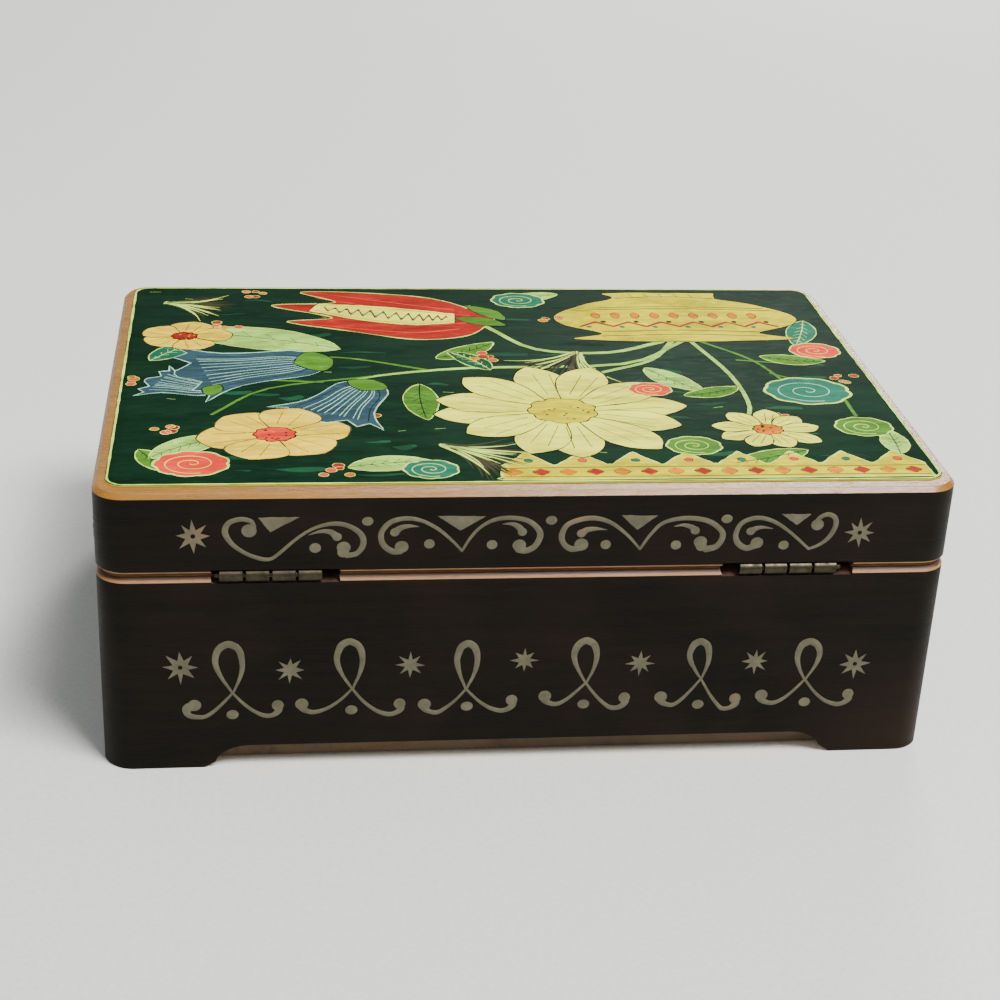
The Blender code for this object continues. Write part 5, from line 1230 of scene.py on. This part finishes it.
# Daisies, bells, blossoms and small flowers
daisy(-9, 17, 24, 12, 9.8, "cream", "ink", "yellow", 6, 8, 0.92)
daisy(-45, 26, 10.5, 9, 5.2, "cream", "ink", "orange", 5, 20, 0.85)
bell(33, -8, 14, 26, 20, 6)
bell(25, 3, 62, 19, 16, 6.5)
bell(53, 7, -22, 13, 11, 5)
daisy(43, 27, 14, 6, 11.4, "peach", "brown", "pink", 6, 12, 0.85)
daisy(60, -21, 9.5, 5, 8.4, "peach", "brown", "red", 7, 40, 0.85)
for place in ((-57, 8, 8.0, "teal", "sky", 5), (-63, 25, 5.2, "leaf", "chalk", 5),
              (17, 42, 4.6, "teal", "chalk", 5), (-30, 33, 4.8, "leaf", "chalk", 9),
              (-27, 7, 4.0, "pink", "cream", 9), (57, 39, 6.2, "pink", "cream", 5),
              (-64, -13, 5.0, "pink", "cream", 5), (-8, -42, 5.4, "teal", "chalk", 5)):
    rosette(*place)
for x, y in ((-66, 2), (-48, 20), (26, 18), (52, -27), (-14, -30), (62, 24), (33, 42), (3, -10), (46, -45),
             (67, 2)):
    for k in range(5):
        dx, dy = random.uniform(-2.6, 2.6), random.uniform(-2.0, 2.0)
        petal = disc(x + dx, y + dy, random.uniform(0.7, 1.1), 0.9, 12)
        lay(petal, 3.15 + 0.1 * k, ("red", "pink", "orange")[k % 3], "chalk", 0.14)

# Pale line round the edge of the sheet
rim = []
for a, b in zip(sheet_ring, np.roll(sheet_ring, -1, 0)):
    rim += list(np.linspace(a, b, max(1, int(np.hypot(*(b - a)) / 2.5)), endpoint=False))
rim = np.array(rim + rim[:1])
rim -= np.clip(rim - sheet_centre, -0.32, 0.32)
rim_widths = 0.42 * random.uniform(0.6, 1.3, len(rim))
on_sheet(stroke(rim, rim_widths, 13 * LAYER, 1, PAINT_THICK, False), "chalk")
make_piece("painted_sheet", sheet_parts, list(PAINTS.values()), "lid", 60.0, ("lid_picture",))


# Bottom panel, partition and glass
# A thin board closes the case from below, let in between the walls and screwed to blocks. A partition
# carries, with two ledges, a loose pane of glass that keeps dust and fingers off the movement.
def coat(material, *names):
    """Gives the parts of the frame that keep their own shape this material."""
    for name in names:
        for place in frame["nodes"][name].material_slots:
            place.material = material


def clear_glass():
    """Window glass, faintly green, with a few smears in its polish."""
    made, tree, surface = finish("pane_glass", 0.03, 0.0, Transmission_Weight=1.0, IOR=1.12)
    surface.inputs["Base Color"].default_value = (0.93, 0.97, 0.945, 1)
    smear = spread(tree, speckle(tree, places(tree, (60, 140, 60)), 1.0, 4.0, 0.6), 0.45, 0.8, 0.004, 0.03)
    tree.links.new(smear, surface.inputs["Roughness"])
    return made


# The bottom panel's wood is painted very dark: painted shade of the hollow under the case, where its edge
# shows through the arches.
panel_wood_painted_shade = bare_wood("panel_wood_painted_shade", (60, 900, 60), (0.095, 0.055, 0.020), (0.055, 0.030, 0.010), 0.6)
coat(panel_wood_painted_shade, "bottom_panel")
coat(bare_wood("partition_wood", (900, 55, 55), (0.47, 0.29, 0.14), (0.37, 0.21, 0.095), 0.55), "partition")
coat(inner_wood, "front_glass_ledge", "back_glass_ledge")
coat(clear_glass(), "glass_cover")


# Felt lining
# A tray of card covered with dark red felt, pressed into the larger compartment, its rim folded over
# and its floor meeting its sides in a soft cove.
TRAY_X, TRAY_Y = (-4.9, 66.9), (-44.9, 44.9)
TRAY_LOW, TRAY_HIGH = 4.5, 33.0
TRAY_CORNER = 1.2
TRAY_WALL = 1.5
TRAY_COVE = 1.6


def tray_ring(inset, height):
    """Points round the tray at an inset from its outside; inside, its corners are rounder than outside."""
    corner = TRAY_CORNER + (1.4 if inset > 1.0 else 0.0)
    arcs = rounded_corners(TRAY_X, TRAY_Y, corner, 7, inset)
    points = []
    for arc, next_arc in zip(arcs, arcs[1:] + arcs[:1]):
        points += [arc, np.linspace(arc[-1], next_arc[0], 18)[1:-1]]
    flat = np.concatenate(points)
    return np.column_stack([flat, np.full(len(flat), height)])


def felt_cloth():
    """Pressed wool: matted fibres in uneven clumps, with a soft bloom where they catch the light."""
    made, tree, surface = finish("felt", 0.95, Specular_IOR_Level=0.15, Sheen_Weight=0.6,
                                 Sheen_Roughness=0.45)
    surface.inputs["Sheen Tint"].default_value = (0.95, 0.55, 0.5, 1)
    clumps = spread(tree, speckle(tree, places(tree, (900, 900, 900)), 1.0, 5.0, 0.7), 0.3, 0.7)
    nap = spread(tree, speckle(tree, places(tree, (45, 45, 45)), 1.0, 3.0), 0.35, 0.65)
    deep = mixed(tree, nap, (0.095, 0.009, 0.010), (0.135, 0.014, 0.014))
    tree.links.new(mixed(tree, clumps, deep, (0.19, 0.028, 0.025)), surface.inputs["Base Color"])
    bumped(tree, surface, clumps, 0.16)
    return made


tray_rows = [(0.15, TRAY_LOW), (0.0, TRAY_LOW + 0.15), (0.0, TRAY_HIGH - 0.5), (0.22, TRAY_HIGH - 0.12),
             (0.6, TRAY_HIGH), (1.05, TRAY_HIGH - 0.04), (TRAY_WALL - 0.1, TRAY_HIGH - 0.4),
             (TRAY_WALL, TRAY_HIGH - 1.0)]
for angle in np.linspace(0, math.pi / 2, 6):
    inwards, up = TRAY_COVE * (1 - math.cos(angle)), TRAY_COVE * (1 - math.sin(angle))
    tray_rows.append((TRAY_WALL + inwards, TRAY_LOW + TRAY_WALL + up))
tray_points = [tray_ring(*row) for row in tray_rows]
count = len(tray_points[0])
dents = np.random.default_rng(3).normal(0, 0.02, (len(tray_rows), count, 3))
dents[:3] = 0.0
tray_points = np.concatenate(np.array(tray_points) + dents)
tray_faces = closed_faces(len(tray_rows), count)
make_piece("felt_tray", [(tray_points, tray_faces, 0)], [felt_cloth()], "case", 60.0,
           ("tray_lining",))


# Movement
# A small cylinder movement on a cast and gilded bedplate. A spring barrel turns a pinned brass cylinder
# under a steel comb, and a train of wheels with a worm and a fan holds back its speed.
def metal(name, light, dark, roughness, scale=(400, 400, 400), wear=0.35):
    """Worked metal: tool marks along one way, faint tarnish between them."""
    made, tree, surface = finish(name, roughness, 1.0)
    marks = spread(tree, speckle(tree, places(tree, scale), 1.0, 4.0, 0.6), 0.35, 0.68)
    stains = spread(tree, speckle(tree, places(tree, (160, 160, 160)), 1.0, 3.0), 0.42, 0.72, 0, wear)
    tree.links.new(mixed(tree, stains, mixed(tree, marks, dark, light), dark), surface.inputs["Base Color"])
    tree.links.new(spread(tree, marks, 0, 1, roughness + 0.1, roughness - 0.07), surface.inputs["Roughness"])
    bumped(tree, surface, marks, 0.008)
    return made


gilt = metal("gilt_casting", (0.78, 0.56, 0.24), (0.58, 0.39, 0.15), 0.46, (500, 500, 500))
brass = metal("wheel_brass", (0.80, 0.60, 0.28), (0.60, 0.42, 0.17), 0.3, (1200, 150, 1200))
drum_brass = metal("drum_brass", (0.78, 0.58, 0.27), (0.62, 0.44, 0.18), 0.28, (150, 2400, 150))
steel = metal("bright_steel", (0.60, 0.60, 0.59), (0.44, 0.44, 0.43), 0.28, (900, 900, 300))
comb_steel = metal("comb_steel", (0.56, 0.57, 0.58), (0.40, 0.41, 0.42), 0.24, (90, 1800, 900))
blued = metal("spring_steel", (0.16, 0.18, 0.24), (0.09, 0.10, 0.14), 0.3)
nickel = metal("key_nickel", (0.66, 0.63, 0.57), (0.46, 0.43, 0.38), 0.32, (300, 900, 300), 0.6)
coat(gilt, "bedplate", "barrel_bridge", "governor_frame")
coat(brass, "spring_barrel", "barrel_cover", "crown_wheel", "cylinder_gear", "first_wheel", "worm_wheel",
     "governor_fan", "stop_finger")
coat(drum_brass, "pinned_cylinder")
coat(steel, "cylinder_arbor", "first_arbor", "second_arbor", "governor_worm", "winding_arbor", "click",
     "stop_rod", "stop_bracket")
coat(comb_steel, "comb")
coat(blued, "mainspring", "stop_spring")
coat(nickel, "winding_key")

# Pins of the cylinder: fine wires set in eighteen tracks, each a tune's notes round the drum
AXIS_X, AXIS_Z = -38.5, 16.9
DRUM_RADIUS = 6.5
DRUM_Y = (-2.8, 17.0)
TRACKS = 18
NOTES, PLACES = 14, 34
PIN_WIRE = 0.13
PIN_HEIGHT = 0.42
PIN_SIDES = 6

notes = np.random.default_rng(31)
track_y = DRUM_Y[0] + (np.arange(TRACKS) + 0.5) * (DRUM_Y[1] - DRUM_Y[0]) / TRACKS
spots = np.array([notes.permutation(PLACES)[:NOTES] for _ in range(TRACKS)]) * 2 * math.pi / PLACES
spots = (spots + notes.uniform(0, 0.12, spots.shape)).ravel()
pin_y = np.repeat(track_y, NOTES)
round_pin = np.linspace(0, 2 * math.pi, PIN_SIDES, endpoint=False)
levels = np.array([(DRUM_RADIUS - 0.3, PIN_WIRE), (DRUM_RADIUS + PIN_HEIGHT - 0.06, PIN_WIRE * 0.9),
                   (DRUM_RADIUS + PIN_HEIGHT, PIN_WIRE * 0.45)])
out = np.stack([np.cos(spots), np.zeros(len(spots)), np.sin(spots)], 1)
over = np.stack([-np.sin(spots), np.zeros(len(spots)), np.cos(spots)], 1)
pins = (out[:, None, None] * levels[None, :, :1, None] + over[:, None, None] * (
    levels[None, :, 1:, None] * np.cos(round_pin)[None, None, :, None]))
pins[..., 1] += pin_y[:, None, None] + levels[None, :, 1:] * np.sin(round_pin)[None, None]
pins = pins.reshape(-1, 3) + (AXIS_X, 0, AXIS_Z)
per_pin = len(levels) * PIN_SIDES
one_pin = closed_faces(len(levels), PIN_SIDES)
all_faces = [[i + k * per_pin for i in f] for k in range(len(spots)) for f in one_pin]
make_piece("cylinder_pins", [(pins, all_faces, 0)], [steel], "cylinder", 50.0)


# Screws
# Turned steel screws with slotted heads: wood screws through the bottom panel and the bracket's foot,
# machine screws in the movement. Their slots stand at any angle, as they came to rest.
# Heads: radius and height
WOOD_HEAD, MACHINE_HEAD = (1.2, 0.8), (1.6, 0.9)
SHANK, BRACKET_SHANK = 0.75, 0.7
THREAD_ROOT = 0.8
THREAD_STEP = 0.3
SLOT_WIDTH = 0.42
SLOT_DEPTH = 0.45
HALF_STEPS = 13


def screw(name, head, shank, head_up, angle):
    """A screw that fills the box of a part of the frame, standing along Z, with its head at either end.

    The head is a chamfered disc, cut away above the slot's floor to two halves with straight inner sides.
    """
    low, high = (np.array(c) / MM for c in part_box(name))
    x, y = (low[:2] + high[:2]) / 2
    length = high[2] - low[2]
    radius, height = head
    body = length - height
    floor = length - SLOT_DEPTH
    rows = [(0.12, 0.0), (shank * THREAD_ROOT, min(0.8, body / 4))]
    turns = np.arange(rows[-1][1] + THREAD_STEP, body * 0.62, THREAD_STEP)
    rows += [(shank * (1.0 if k % 2 else THREAD_ROOT), z) for k, z in enumerate(turns)]
    rows += [(shank, max(rows[-1][1] + 0.2, body * 0.64)), (shank, body), (radius - 0.08, body),
             (radius, body + 0.1), (radius, floor), (radius - 0.02, floor + 0.01)]
    parts = [turned(rows, steps=20)]
    start = math.asin(SLOT_WIDTH / 2 / radius)
    arc = np.linspace(start, math.pi - start, HALF_STEPS)
    arc = np.column_stack([np.cos(arc), np.sin(arc)])
    for flip in (1, -1):
        half = [np.column_stack([arc * (radius - less) * flip, np.full(HALF_STEPS, z)])
                for less, z in ((0.0, floor - 0.05), (0.0, length - 0.16), (0.14, length))]
        parts.append((np.concatenate(half), closed_faces(3, HALF_STEPS)))
    cos, sin = math.cos(angle), math.sin(angle)
    placed = []
    for points, faces in parts:
        turned_round = points @ np.array([(cos, sin, 0), (-sin, cos, 0), (0, 0, 1)])
        if not head_up:
            turned_round = turned_round * (1, 1, -1) + (0, 0, length)
        placed.append((turned_round + (x, y, low[2]), faces, 0))
    return placed


screw_steel = metal("screw_steel", (0.50, 0.49, 0.47), (0.34, 0.33, 0.31), 0.34, (700, 700, 700), 0.5)
screws = [(f"bottom_screw_{k}", WOOD_HEAD, SHANK, False) for k in (1, 2, 3, 4)]
screws += [(f"movement_screw_{k}", MACHINE_HEAD, SHANK, False) for k in (1, 2, 3)]
screws += [(f"{kind}_screw_{k}", MACHINE_HEAD, SHANK, True)
           for kind in ("bridge", "comb", "governor") for k in (1, 2)]
screws.append(("bracket_screw_1", WOOD_HEAD, BRACKET_SHANK, True))
angles = np.random.default_rng(17).uniform(0, math.pi, len(screws))
for (name, *form), angle in zip(screws, angles):
    make_piece(name + "_turned", screw(name, *form, angle), [screw_steel], "case", 40.0, (name,))
